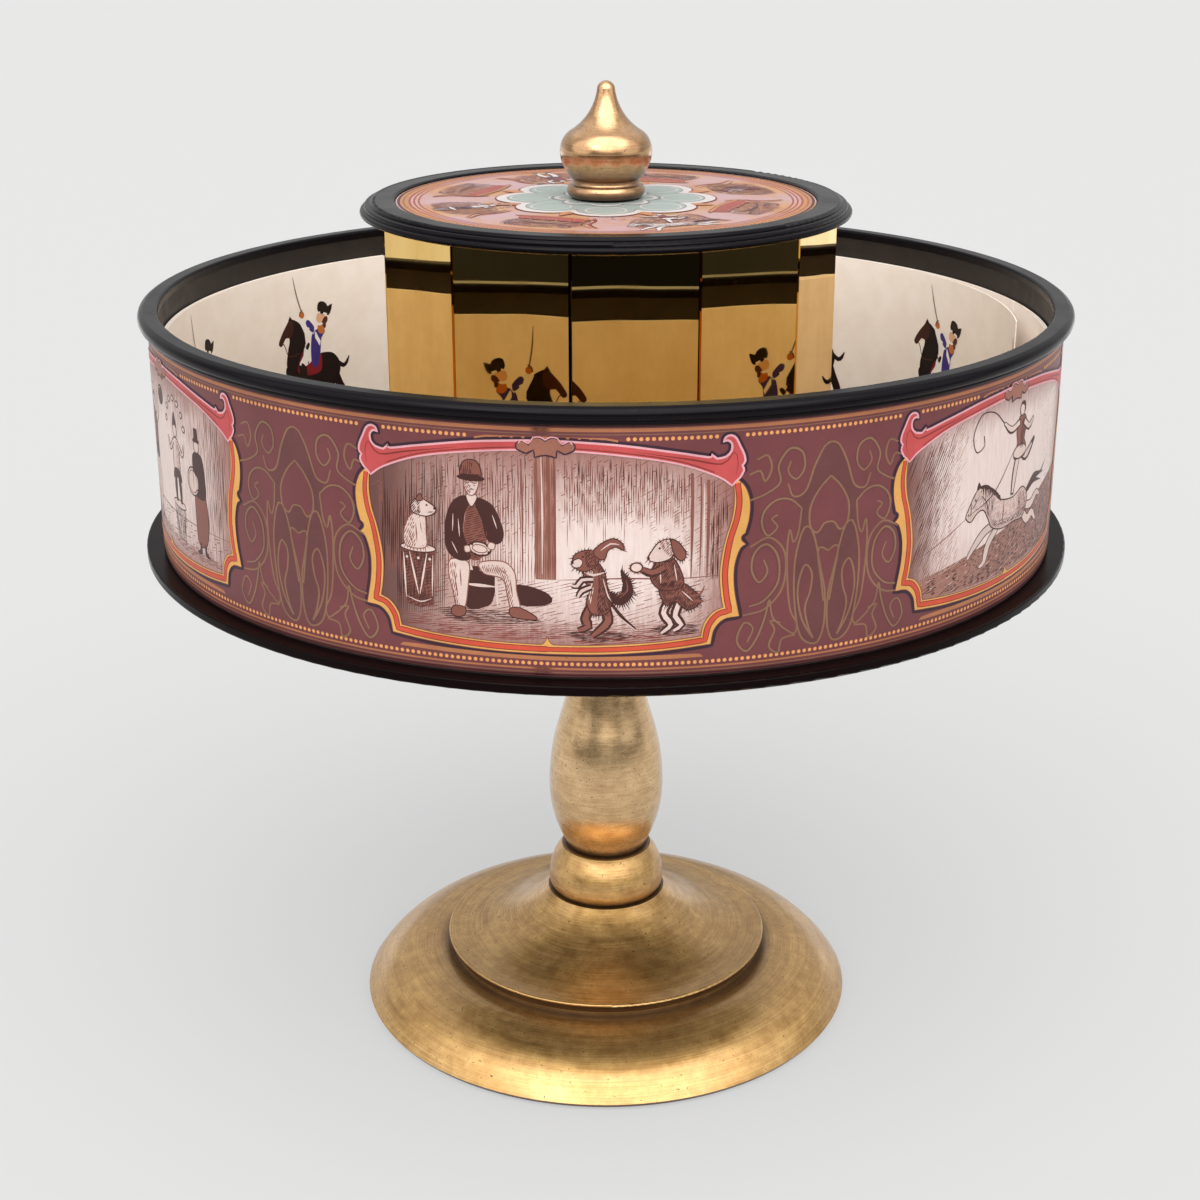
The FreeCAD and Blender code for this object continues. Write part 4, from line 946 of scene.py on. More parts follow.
def acrobat(art):
    """An acrobat on one leg, with a long whip."""
    art.stroke("sepia", [(1.4, -2.6), (2.4, 4.4), (4.6, 11.4)], 3.3, 0.6, 1.0)
    art.stroke("paper", [(1.5, -2.0), (2.6, 4.6), (4.6, 11.0)], 2.2, 0.5, 1.0)
    art.stroke("sepia", [(5.0, 11.0), (9.6, 7.6), (14.8, 10.6), (16.4, 12.0)], 3.1, 1.0, 0.4)
    art.stroke("paper", [(5.2, 11.0), (9.6, 7.9), (14.2, 10.4)], 2.0, 1.0, 0.4)
    art.shape("umber", "sepia", [(1.0, 8.6), (8.6, 8.2), (9.0, 11.4), (7.6, 13.4), (8.4, 17.0), (7.4, 20.6),
        (3.2, 20.8), (1.8, 16.6), (2.8, 12.8)], 0.4)
    art.shape("paper", "sepia", [(0.4, 9.6), (4.6, 8.0), (9.6, 9.4), (7.6, 11.6), (2.6, 11.8)], 0.3)
    art.hatch("sepia", [(4.6, 10.8), (6.8, 10.8), (7.6, 16.2), (7.0, 20.2), (5.2, 20.2)], 75, 0.45, 0.35, 5.0)
    art.stroke("sepia", [(3.8, 19.4), (-1.8, 18.0), (-6.6, 21.0)], 2.5, 1.0, 0.5)
    art.stroke("paper", [(3.4, 19.2), (-1.8, 18.2), (-6.4, 20.9)], 1.5, 1.0, 0.5)
    art.stroke("sepia", [(6.8, 19.0), (10.8, 16.4), (14.4, 18.6)], 2.5, 1.0, 0.5)
    art.stroke("paper", [(7.0, 18.8), (10.8, 16.6), (14.2, 18.4)], 1.5, 1.0, 0.5)
    art.shape("paper", "sepia", oval(5.0, 23.0, 1.75, 2.0), 0.36, False)
    art.shape("sepia", None, [(3.2, 23.8), (4.4, 25.4), (6.6, 25.0), (7.2, 22.6), (6.2, 21.4), (6.2, 23.6),
        (4.4, 24.4)])
    art.line("sepia", smooth([(-6.6, 21.0), (-12.6, 25.4), (-19.4, 26.0), (-23.0, 20.6), (-21.2, 15.4),
        (-17.4, 16.4), (-17.8, 19.6)], step=0.8), 0.34)


def bareback_riding(art, opening):
    """A horse at the gallop and an acrobat with a long whip who stands on its back."""
    art.hatch("umber", opening, 62, 0.8, 0.3, 12.0, lambda x, y: clamp((-26 - x) / 16 + max(0, y - 12) / 34))
    art.hatch("umber", opening, 34, 1.3, 0.26, 10.0,
        lambda x, y: clamp((abs(x) - 22) / 30 + max(0, y - 12) / 34))
    art.hatch("sepia", [(-50, -14), (-36, -14), (-30, 30), (-50, 30)],
        66, 0.8, 0.38, 12.0, lambda x, y: clamp((-33 - x + y * 0.35) / 12))
    ground = smooth([(-44.6, -18.4), (-24, -15.6), (2, -11.4), (28, -6.4), (47.2, -3.4)])
    ground += [(46.8, -9.0), (47.6, -16.6), (44.4, -18.2), (42.2, -21.0), (41.4, -24.8), (0, -26.0),
        (-41.4, -24.8), (-42.6, -20.4)]
    art.fill("umber_wash", ground)
    for angle, gap, width in ((12, 0.62, 0.5), (22, 0.9, 0.45), (4, 1.0, 0.4)):
        art.hatch("sepia", ground, angle, gap, width, 12.0, lambda x, y: 0.55 + 0.45 * clamp((x + 40) / 60))
    art.hatch("paper", ground, 12, 2.6, 0.32, 10.0, lambda x, y: 0.5)
    art.hatch("sepia", ground, 35, 1.3, 0.42, 9.0, lambda x, y: clamp((x + 20) / 50))
    art.stroke("umber", [(-47, -11.8), (-40, -10.2), (-26, -4.6), (-21, -2.4)], 0.35)
    pen(art, "umber", 0.4, [(-34, -19.6), (-20, -16.4)], [(20, -9.4), (40, -4.4)])
    art.settle()
    gallop(art)
    acrobat(art)


def lifter(art):
    """A strong man with a bar bell."""
    for run in ([(-18.8, -1.0), (-20.6, -9.0), (-19.8, -18.0)],
        [(-14.6, -1.0), (-12.6, -9.0), (-13.4, -18.0)]):
        art.stroke("sepia", run, 4.2, 1.0, 0.55)
        art.stroke("paper", run, 3.2, 1.0, 0.5)
    pen(art, "sepia", 2.2, [(-19.6, -17.6), (-20.2, -20.4), (-23.2, -20.9)],
        [(-13.4, -17.6), (-13.4, -20.4), (-10.2, -20.9)])
    art.shape("umber", "sepia", [(-20.6, 0.4), (-12.8, 0.4), (-12.4, 5.0), (-11.6, 11.6), (-14.4, 12.6),
        (-19.0, 12.6), (-21.8, 11.4), (-20.8, 5.0)], 0.42)
    art.hatch("sepia", [(-16.4, 0.4), (-12.8, 0.4), (-12.4, 5.0), (-11.8, 11.6), (-16.0, 12.4)],
        80, 0.5, 0.34, 6.0)
    art.shape("sepia", None, [(-20.8, 1.4), (-12.6, 1.4), (-12.8, -2.2), (-20.4, -2.2)])
    for run in ([(-20.8, 10.6), (-24.6, 14.0), (-23.6, 20.2)], [(-12.4, 10.6), (-8.6, 14.0), (-9.6, 20.2)]):
        art.stroke("sepia", run, 3.0, 1.0, 0.8)
        art.stroke("paper", run, 2.1, 1.0, 0.8)
    art.line("sepia", [(-30.0, 20.8), (-16.6, 21.2), (-3.2, 20.8)], 0.9)
    for x in (-31.4, -1.8):
        art.shape("sepia", None, oval(x, 20.8, 3.2, 3.2), curved=False)
        pen(art, "paper", 0.4, [(x - 1.9, 21.4), (x - 1.2, 22.8), (x + 0.2, 23.2)])
    art.shape("paper", "sepia", oval(-16.6, 15.6, 2.1, 2.5), 0.4, False)
    art.shape("sepia", None, [(-18.8, 16.2), (-18.2, 18.4), (-15.2, 18.5), (-14.4, 16.4), (-15.8, 17.4),
        (-17.8, 17.2)])


def juggler(art):
    """A juggler on a tub."""
    art.hatch("sepia", [(7.2, -10.4), (18.4, -10.4), (16.8, -21.6), (8.8, -21.6)], 86, 0.6, 0.42, 12.0)
    art.shape("paper", "sepia", oval(12.8, -10.2, 5.8, 1.3), 0.4, False)
    pen(art, "paper", 0.7, [(10.0, -11.6), (12.8, -20.6)], [(15.6, -11.6), (12.8, -20.6)])
    for run in ([(11.2, 0.6), (10.6, -5.0), (10.8, -9.8)], [(14.0, 0.6), (14.8, -5.0), (14.8, -9.8)]):
        art.stroke("sepia", run, 2.4, 1.0, 0.6)
    art.shape("paper", "sepia", [(10.2, 0.0), (15.2, 0.0), (15.8, 5.0), (14.8, 10.2), (10.8, 10.2),
        (9.8, 5.0)], 0.42)
    art.hatch("umber", [(12.8, 0.2), (15.2, 0.2), (15.8, 5.0), (14.8, 10.0), (13.0, 10.0)],
        70, 0.6, 0.32, 4.0)
    art.shape("sepia", None, [(10.2, 0.8), (15.2, 0.8), (16.6, -2.6), (12.8, -1.8), (8.8, -2.6)])
    for run in ([(10.6, 9.4), (7.2, 6.4), (5.4, 10.0)], [(15.0, 9.4), (18.2, 6.4), (20.2, 10.0)]):
        art.stroke("sepia", run, 1.9, 1.0, 0.6)
        art.stroke("paper", run, 1.0, 1.0, 0.6)
    art.shape("paper", "sepia", oval(12.8, 13.0, 1.75, 2.1), 0.36, False)
    art.shape("sepia", None, [(10.8, 14.0), (12.8, 19.0), (14.8, 14.0), (12.8, 14.8)])
    for k in range(7):
        a = math.pi * (0.06 + 0.147 * k)
        art.shape("paper", "sepia", oval(12.8 - 8.4 * math.cos(a), 13.4 + 9.6 * math.sin(a),
            0.95, 0.95, count=12), 0.4, False)


def drummer(art):
    """A musician with a drum."""
    art.shape("umber", "sepia", [(27.6, -2.4), (33.8, -2.4), (35.0, -12.0), (32.6, -18.4), (27.4, -18.4),
        (26.6, -10.0)], 0.4)
    art.shape("sepia", None, [(27.2, 9.4), (33.0, 9.6), (34.6, 3.0), (34.0, -3.4), (27.4, -3.4), (26.4, 3.0)])
    art.shape("paper", "sepia", oval(26.0, 0.4, 3.9, 4.4), 0.5, False)
    art.shape(None, "umber", oval(26.0, 0.4, 3.0, 3.5), 0.3, False)
    pen(art, "sepia", 1.7, [(32.6, 7.4), (30.6, 3.0), (26.6, 4.2)])
    art.shape("paper", "sepia", oval(30.0, 12.0, 1.7, 2.0), 0.36, False)
    art.shape("sepia", None, [(27.8, 13.2), (32.2, 13.2), (32.0, 14.2), (31.4, 14.4), (31.2, 17.6),
        (28.8, 17.6), (28.6, 14.4), (27.9, 14.2)], curved=False)
    pen(art, "sepia", 1.9, [(28.8, -18.0), (28.6, -21.0), (26.2, -21.6)],
        [(32.0, -18.0), (32.2, -21.0), (34.6, -21.6)])


def strong_man(art, opening):
    """A strong man with a bar bell, a juggler on a tub, and drapes behind them."""
    art.hatch("umber", opening, 90, 0.85, 0.32, 16.0,
        lambda x, y: clamp(abs(x) / 34 - 0.3 + max(0, y - 8) / 26))
    art.hatch("sepia", opening, 88, 1.2, 0.4, 18.0, lambda x, y: clamp((abs(x) - 32) / 14))
    art.hatch("umber", [(-46, -27), (46, -27), (46, -14), (-46, -14)], 8, 0.95, 0.32, 13.0)
    art.stroke("umber", [(-48, -13.4), (-10, -14.0), (20, -13.6), (48, -13.2)], 0.4)
    art.hatch("umber", blob([(-28, -20.6), (-6, -20.6), (2, -22.6), (-22, -23.6)]), 3, 0.55, 0.4, 7.0)
    art.hatch("umber", blob([(6, -21.4), (36, -21.2), (42, -23.2), (12, -24.0)]), 3, 0.55, 0.4, 7.0)
    art.settle()
    for draw in (lifter, juggler, drummer):
        art.figure()
        draw(art)


def print_label():
    """Everything printed round the drum: borders, tracery, six frames and three pictures, twice each."""
    finishes = {
        "plum_fill": printed("ink_plum", screen(100, 54, 55)),
        "mauve": printed("ink_mauve", screen(94, 55, 55)),
        "plum": printed("ink_dark_plum", screen(64, 34, 34)),
        "tan": printed("ink_tan", screen(124, 92, 70)),
        "shadow": printed("ink_shadow", screen(53, 33, 45)),
        "orange": printed("ink_orange", screen(163, 105, 71)),
        "beads": printed("ink_beads", screen(212, 146, 90)),
        "gold": printed("ink_gold", screen(200, 148, 79)),
        "rust": printed("ink_rust", screen(114, 45, 38)),
        "red": printed("ink_red", screen(186, 72, 50)),
        "coral": printed("ink_coral", screen(177, 71, 71)),
        "wood": printed("ink_wood", screen(141, 91, 76)),
        "blush": printed("ink_blush", screen(205, 151, 158)),
        "ground_1": panel_paper("paper_dogs", (0.16, -0.02), 0.10, 0.75, -0.27),
        "ground_2": panel_paper("paper_riding", (0.08, 0.06), 0.22, 0.5, -0.36),
        "ground_3": panel_paper("paper_strong", (0.04, 0.0), 0.14, 0.6, -0.40),
        "umber_wash": printed("ink_wash", screen(146, 104, 92)),
        "umber": printed("ink_umber", screen(122, 74, 64)),
        "sepia": printed("ink_sepia", screen(64, 34, 30)),
        "paper": printed("ink_paper", screen(200, 177, 169)),
    }
    pitch = AROUND / 6
    art = Print()
    border(art)
    art.settle()
    art.stamp(ornament(), [((k + 0.5) * pitch + 1.3, 0, 1, 0) for k in range(6)])
    under, over, opening = panel_frame()
    art.stamp(under, [(k * pitch, 0, 1, 0) for k in range(6)])
    art.settle()
    for index, picture in enumerate((dancing_dogs, bareback_riding, strong_man)):
        sheet = Print()
        sheet.fill(f"ground_{index + 1}", opening)
        sheet.clip = opening
        picture(sheet, opening)
        art.stamp(sheet, [(k * pitch, 0, 1, 0) for k in (index, index + 3)])
    art.settle()
    art.stamp(over, [(k * pitch, 0, 1, 0) for k in range(6)])
    art.lay("label", "drum", finishes, on_label)


# ---- build: label -----------------------------------------------------------------------------

label_ground = printed("label_ground", screen(104, 56, 58), 0.4, 0.1)
label_ring = sheet_ring(
    "drum_print", LABEL_RADIUS - 0.2 * MM, LABEL_RADIUS, LABEL_BOTTOM, LABEL_BOTTOM + LABEL_HEIGHT,
    label_ground, "drum",
)
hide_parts("drum_label")
print_label()


card = plain("strip_card", screen(251, 240, 230), screen(245, 232, 220), 120.0, 0.55, 0.00002)


# ---- picture strips ---------------------------------------------------------------------------
# A strip's run is measured in millimetres along its inner face. The front strip's starts where the wall's
# arc meets the sprung end: more than 0 goes round with the wall, less than 0 along the end. Its frames
# stand at a close pitch, then at a wide one, where the photograph shows them.

CARD = 0.3
card_low, card_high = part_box("picture_strip")
CARD_BOTTOM, CARD_HEIGHT = card_low.z, (card_high.z - card_low.z) / MM
JUNCTION = math.radians(141)
PICTURE_RADIUS, SPRUNG_RADIUS, SPARE_RADIUS, BACK_RADIUS = 142.9, 125.0, 143.45, 143.95
FIRST_FRAME = -60.5
CLOSE_PITCH, WIDE_PITCH, STEPS = 69.8, 81.7, 5
FRAME_RUNS = [FIRST_FRAME + CLOSE_PITCH * min(k, STEPS) + WIDE_PITCH * max(k - STEPS,
    0) for k in range(2 * STEPS + 1)]


def heading(turn):
    return np.array([math.sin(turn), -math.cos(turn)])


def wall_run(radius, start):
    def where(run, inward):
        return heading(start + run / radius) * (radius - inward)
    return where


def picture_run(run, inward):
    """Along the front strip, whose end springs inwards off the wall on a tighter arc."""
    if run >= 0:
        return heading(JUNCTION + run / PICTURE_RADIUS) * (PICTURE_RADIUS - inward)
    middle = heading(JUNCTION) * (PICTURE_RADIUS - SPRUNG_RADIUS)
    return middle + heading(JUNCTION + run / SPRUNG_RADIUS) * (SPRUNG_RADIUS - inward)


def make_card(name, node, where, first, last):
    """A strip of card as a closed thin sheet, a little wavy along its top edge."""
    count = round((last - first) / 2.2)
    verts, faces = [], []
    rows = 6
    for k in range(count + 1):
        run = first + (last - first) * k / count
        for inward in (0.0, -CARD):
            for j in range(rows + 1):
                lift = j / rows
                sway = 0.06 * lift**2 * math.sin(run * 0.031 + len(name))
                x, y = where(run, inward + sway)
                verts.append((x * MM, y * MM, CARD_BOTTOM + CARD_HEIGHT * lift * MM))
    size = 2 * (rows + 1)
    ring = list(range(rows + 1)) + list(range(size - 1, rows, -1))
    for k in range(count):
        here, there = k * size, (k + 1) * size
        for i, a in enumerate(ring):
            b = ring[(i + 1) % size]
            faces.append((here + a, there + a, there + b, here + b))
    faces.append(tuple(ring))
    faces.append(tuple(count * size + i for i in reversed(ring)))
    mesh = bpy.data.meshes.new(name)
    mesh.from_pydata(verts, [], faces)
    mesh.materials.append(card)
    mesh.shade_smooth()
    mesh.set_sharp_from_angle(angle=math.radians(40))
    piece = put(name, mesh)
    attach(piece, node)
    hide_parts(node)


def trooper(phase):
    """One frame of the animation: a mounted trooper with a raised sabre. phase runs round the cycle."""
    art = Print()
    bob = 0.9 * math.sin(phase)
    swing = math.radians(7 * math.sin(phase + 0.8))
    gait = 2.2 * math.sin(phase)
    art.stroke("horse", [(4.2, 28), (7.0, 21), (9.0 + gait * 0.6, 14.5), (5.8 + gait, 9.4),
        (4.6 + gait, 4.6), (3.0 + gait, 3.8)], 3.4, 1.2, 0.5)
    art.stroke("horse", [(1.6, 25), (0.8, 17.4), (3.6 - gait * 0.6, 12), (-0.6 - gait, 7.8),
        (-1.4 - gait, 4.6), (-3.0 - gait, 3.8)], 3.0, 1.2, 0.5)
    art.stroke("horse", [(-15.4, 27), (-20.6, 23.0), (-19.2, 17.4 - gait * 0.5), (-22.0, 15.2),
        (-22.6, 13.4)], 2.5, 1.2, 0.5)
    art.stroke("horse", [(-14.2, 25), (-15.8, 16.8), (-14.6 + gait * 0.4, 10.8), (-16.2, 5.4),
        (-18.0, 4.4)], 2.5, 1.2, 0.5)
    art.stroke("horse", [(7.2, 28.6), (9.6, 27.2), (11.2, 27.8 + 0.3 * gait), (12.4, 29.8 + 0.5 * gait)],
        1.7, 1.3, 0.2)
    body = [(-18.9, 32.0), (-19.2, 27.6), (-15.6, 23.0), (-8.0, 21.4), (0.0, 21.0), (4.8, 20.6),
        (7.6, 24.6), (7.9, 28.6), (6.2, 31.6), (3.4, 33.4), (-2.0, 33.8), (-8.4, 32.6), (-9.4, 37.8)]
    art.fill("horse", blob(body))
    neck = [(-19.0, 31.4), (-18.2, 37.4), (-17.0, 41.4), (-18.0, 45.2), (-16.4, 48.6), (-14.4, 48.8),
        (-11.6, 46.6), (-9.6, 42.6), (-9.0, 37.6), (-9.6, 31.0), (-14.0, 28.6)]
    art.fill("horse", blob(neck))
    head = [(-16.3, 50.2), (-17.4, 48.4), (-20.7, 44.8), (-22.9, 41.4), (-22.5, 40.2), (-21.2, 40.0),
        (-18.9, 42.6), (-16.6, 42.2), (-14.6, 44.6), (-14.6, 48.0)]
    art.fill("bay", blob(head))
    art.fill("horse", [(-16.9, 48.0), (-16.4, 50.6), (-15.0, 48.4)])
    art.stroke("horse", [(-15.2, 48.6), (-12.4, 47.0), (-10.0, 43.4), (-9.0, 38.4)], 1.5, 0.5, 0.5)
    art.stroke("hair", [(-22.4, 41.6), (-20.0, 40.2), (-17.6, 35.4), (-12.0, 35.6)], 0.35, 1, 1)
    art.dot("hair", -19.0, 45.0, 0.3, 6)
    cloth = [(-13.4, 28.8), (-10.4, 35.6), (-7.4, 36.4), (-4.6, 34.4), (-1.2, 33.4), (-1.0, 28.0),
        (-2.6, 26.4), (-8.0, 26.2)]
    art.fill("crimson", blob([(x, y + bob * 0.3) for x, y in cloth]))
    rider = Print()
    rider.fill("hat", blob([(-12.6, 31.0), (-9.4, 30.4), (-8.6, 25.4), (-10.0, 19.8), (-12.6, 18.6),
        (-13.6, 19.6), (-11.4, 21.6), (-12.4, 26.6)]))
    rider.fill("white", blob([(-6.6, 36.8), (-4.6, 34.6), (-5.6, 31.4), (-9.0, 29.6), (-12.4, 30.6),
        (-10.2, 33.6), (-9.4, 36.6)]))
    rider.fill("coat", blob([(-2.4, 42.6), (-5.2, 41.0), (-6.2, 34.8), (-5.8, 29.4), (-3.2, 28.4),
        (-1.6, 33.0), (-0.5, 39.0), (1.2, 40.8), (0.6, 42.8)]))
    rider.fill("white", [(-4.9, 41.2), (-3.6, 42.2), (-1.0, 37.6), (-1.6, 36.0)])
    rider.fill("white", blob([(-5.0, 41.8), (-7.2, 39.4), (-10.0, 44.0), (-11.6, 47.8), (-9.0, 48.0),
        (-6.6, 44.6)]))
    rider.fill("coat", blob([(-8.2, 45.9), (-6.8, 46.8), (-4.0, 43.6), (-4.8, 41.6), (-7.2, 43.6)]))
    rider.fill("hat", blob([(-8.8, 36.6), (-7.4, 38.2), (-6.6, 37.4), (-7.8, 35.4)]))
    rider.fill("skin", blob([(-2.1, 48.2), (-2.7, 46.5), (-2.0, 45.0), (0.0, 44.6), (1.8, 46.4),
        (0.4, 48.6)]))
    rider.fill("hair", blob([(0.4, 45.6), (-0.2, 44.2), (0.6, 42.4), (1.8, 42.6), (1.8, 44.0), (2.8, 45.0),
        (2.6, 46.6), (1.4, 46.6)]))
    rider.fill("amber", blob([(-2.2, 43.8), (-2.2, 41.6), (-0.6, 40.4), (1.2, 41.0), (0.6, 43.0),
        (-0.4, 44.2)]))
    rider.fill("white", [(-2.6, 44.0), (-0.6, 44.8), (0.6, 44.2), (-0.6, 43.6)])
    rider.fill("white", [(-2.2, 48.8), (2.8, 46.8), (3.1, 47.6), (-2.0, 49.6)])
    rider.fill("hat", blob([(-1.7, 49.0), (-1.4, 52.4), (0.8, 52.6), (2.4, 51.6), (3.2, 50.4), (5.3, 51.0),
        (3.4, 47.0)]))
    rider.fill("amber", blob([(-11.2, 49.0), (-10.0, 50.5), (-8.9, 49.7), (-8.9, 48.2), (-10.2, 47.8)]))
    rider.stroke("hair", [(-11.2, 48.6), (-10.8, 50.2), (-9.6, 50.9)], 0.5, 1, 1)
    length = 14.6
    tilt = math.radians(105) + swing
    grip = (-9.9, 49.6)
    tip = (grip[0] + length * math.cos(tilt), grip[1] + length * math.sin(tilt))
    bow = (grip[0] + tip[0]) / 2 - 0.35, (grip[1] + tip[1]) / 2
    rider.stroke("blade", [grip, bow, tip], 0.52, 1.0, 0.4)
    art.settle()
    art.stamp(rider, [(0, bob, 1, 0)])
    return art


INK_INSET = 0.08
spare_run = wall_run(SPARE_RADIUS, math.radians(102))


def print_strips():
    finishes = {
        "horse": printed("strip_horse", screen(28, 13, 11), 0.5),
        "bay": printed("strip_bay", screen(66, 30, 20), 0.5),
        "hat": printed("strip_hat", screen(34, 20, 12), 0.5),
        "coat": printed("strip_coat", screen(64, 50, 124), 0.5),
        "white": printed("strip_white", screen(242, 236, 230), 0.5, 0.03),
        "skin": printed("strip_skin", screen(228, 178, 140), 0.5, 0.05),
        "hair": printed("strip_hair", screen(84, 44, 22), 0.5),
        "amber": printed("strip_amber", screen(196, 112, 52), 0.5),
        "crimson": printed("strip_crimson", screen(134, 32, 40), 0.5),
        "blade": printed("strip_blade", screen(120, 104, 96), 0.5),
    }

    def on(where, inset):
        def surface(x, y, lift):
            px, py = where(-x, inset + lift / MM)
            return (px * MM, py * MM, CARD_BOTTOM + y * MM)
        return surface

    art = Print()
    for k, run in enumerate(FRAME_RUNS):
        art.stamp(trooper(2 * math.pi * k / len(FRAME_RUNS)), [(-run, 0, 1, 0)])
    art.line("amber", [(121.6, 6), (121.6, 60)], 1.1)
    art.line("amber", [(123.6, 6), (123.6, 60)], 0.3)
    art.lay("strip_art", "picture_strip", finishes, on(picture_run, INK_INSET))
    # The spare strip has the whole cycle at an even pitch, and a margin line at its end.
    spare = Print()
    for x in (-4.0, -5.4):
        spare.line("hair", [(x, 3), (x, CARD_HEIGHT - 6)], 0.8 if x > -5 else 0.35)
    for k in range(12):
        spare.stamp(trooper(2 * math.pi * k / 12), [(-(38 + 74 * k), 0, 1, 0)])
    spare.lay("spare_art", "spare_strip", finishes, on(spare_run, INK_INSET))


make_card("picture_card", "picture_strip", picture_run, -58 * math.pi / 180 * SPRUNG_RADIUS,
    312 * math.pi / 180 * PICTURE_RADIUS)
make_card("spare_card", "spare_strip", spare_run, 0, 356 * math.pi / 180 * SPARE_RADIUS)
make_card("back_card", "back_strip", wall_run(BACK_RADIUS, math.radians(300)),
    0, 356 * math.pi / 180 * BACK_RADIUS)
print_strips()


# ---- the lid's printed disc -------------------------------------------------------------------

_, lid_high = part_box("lid_label")


def on_lid(x, y, lift):
    return (x * MM, y * MM, lid_high.z + INK_CLEARANCE + lift)


def lobed(lobes, out, size, count=96):
    """The outline of a ring of round lobes, each of radius size, centred out from the middle."""
    points = []
    for k in range(count):
        a = 2 * math.pi * k / count
        off = (a + math.pi / lobes) % (2 * math.pi / lobes) - math.pi / lobes
        r = out * math.cos(off) + math.sqrt(max(size**2 - (out * math.sin(off)) ** 2, 0))
        points.append((r * math.sin(a), -r * math.cos(a)))
    return points


def swag():
    """A scalloped drape with tassels, hung between two sectors of the lid."""
    art = Print()
    for k in range(-2, 3):
        x = k * 4.6
        art.shape("coral", "rust", [(x - 2.3, 8.0), (x - 2.2, 4.0), (x, 2.2), (x + 2.2, 4.0),
            (x + 2.3, 8.0)], 0.35)
        art.stroke("rust", [(x - 0.8, 7.6), (x - 0.5, 4.4), (x, 2.8)], 0.4)
        art.stroke("rust", [(x + 1.0, 7.6), (x + 0.9, 4.6), (x + 0.4, 3.0)], 0.35)
        art.dot("beads", x + 2.3, 3.2, 0.55)
    art.shape("orange", "rust", [(-13, 8.2), (0, 9.6), (13, 8.2), (12.6, 6.9), (0, 8.2), (-12.6, 6.9)], 0.35)
    art.stroke("violet", [(-11, 0.4), (-6, -2.4), (0, -3.2), (6, -2.4), (11, 0.4)], 0.7)
    for side in (1, -1):
        art.stroke("violet", [(side * x, y) for x, y in ((3, -5.6), (8, -4.4), (11.4, -6.4), (10, -8.6),
            (8.2, -7.2))], 0.55)
    return art


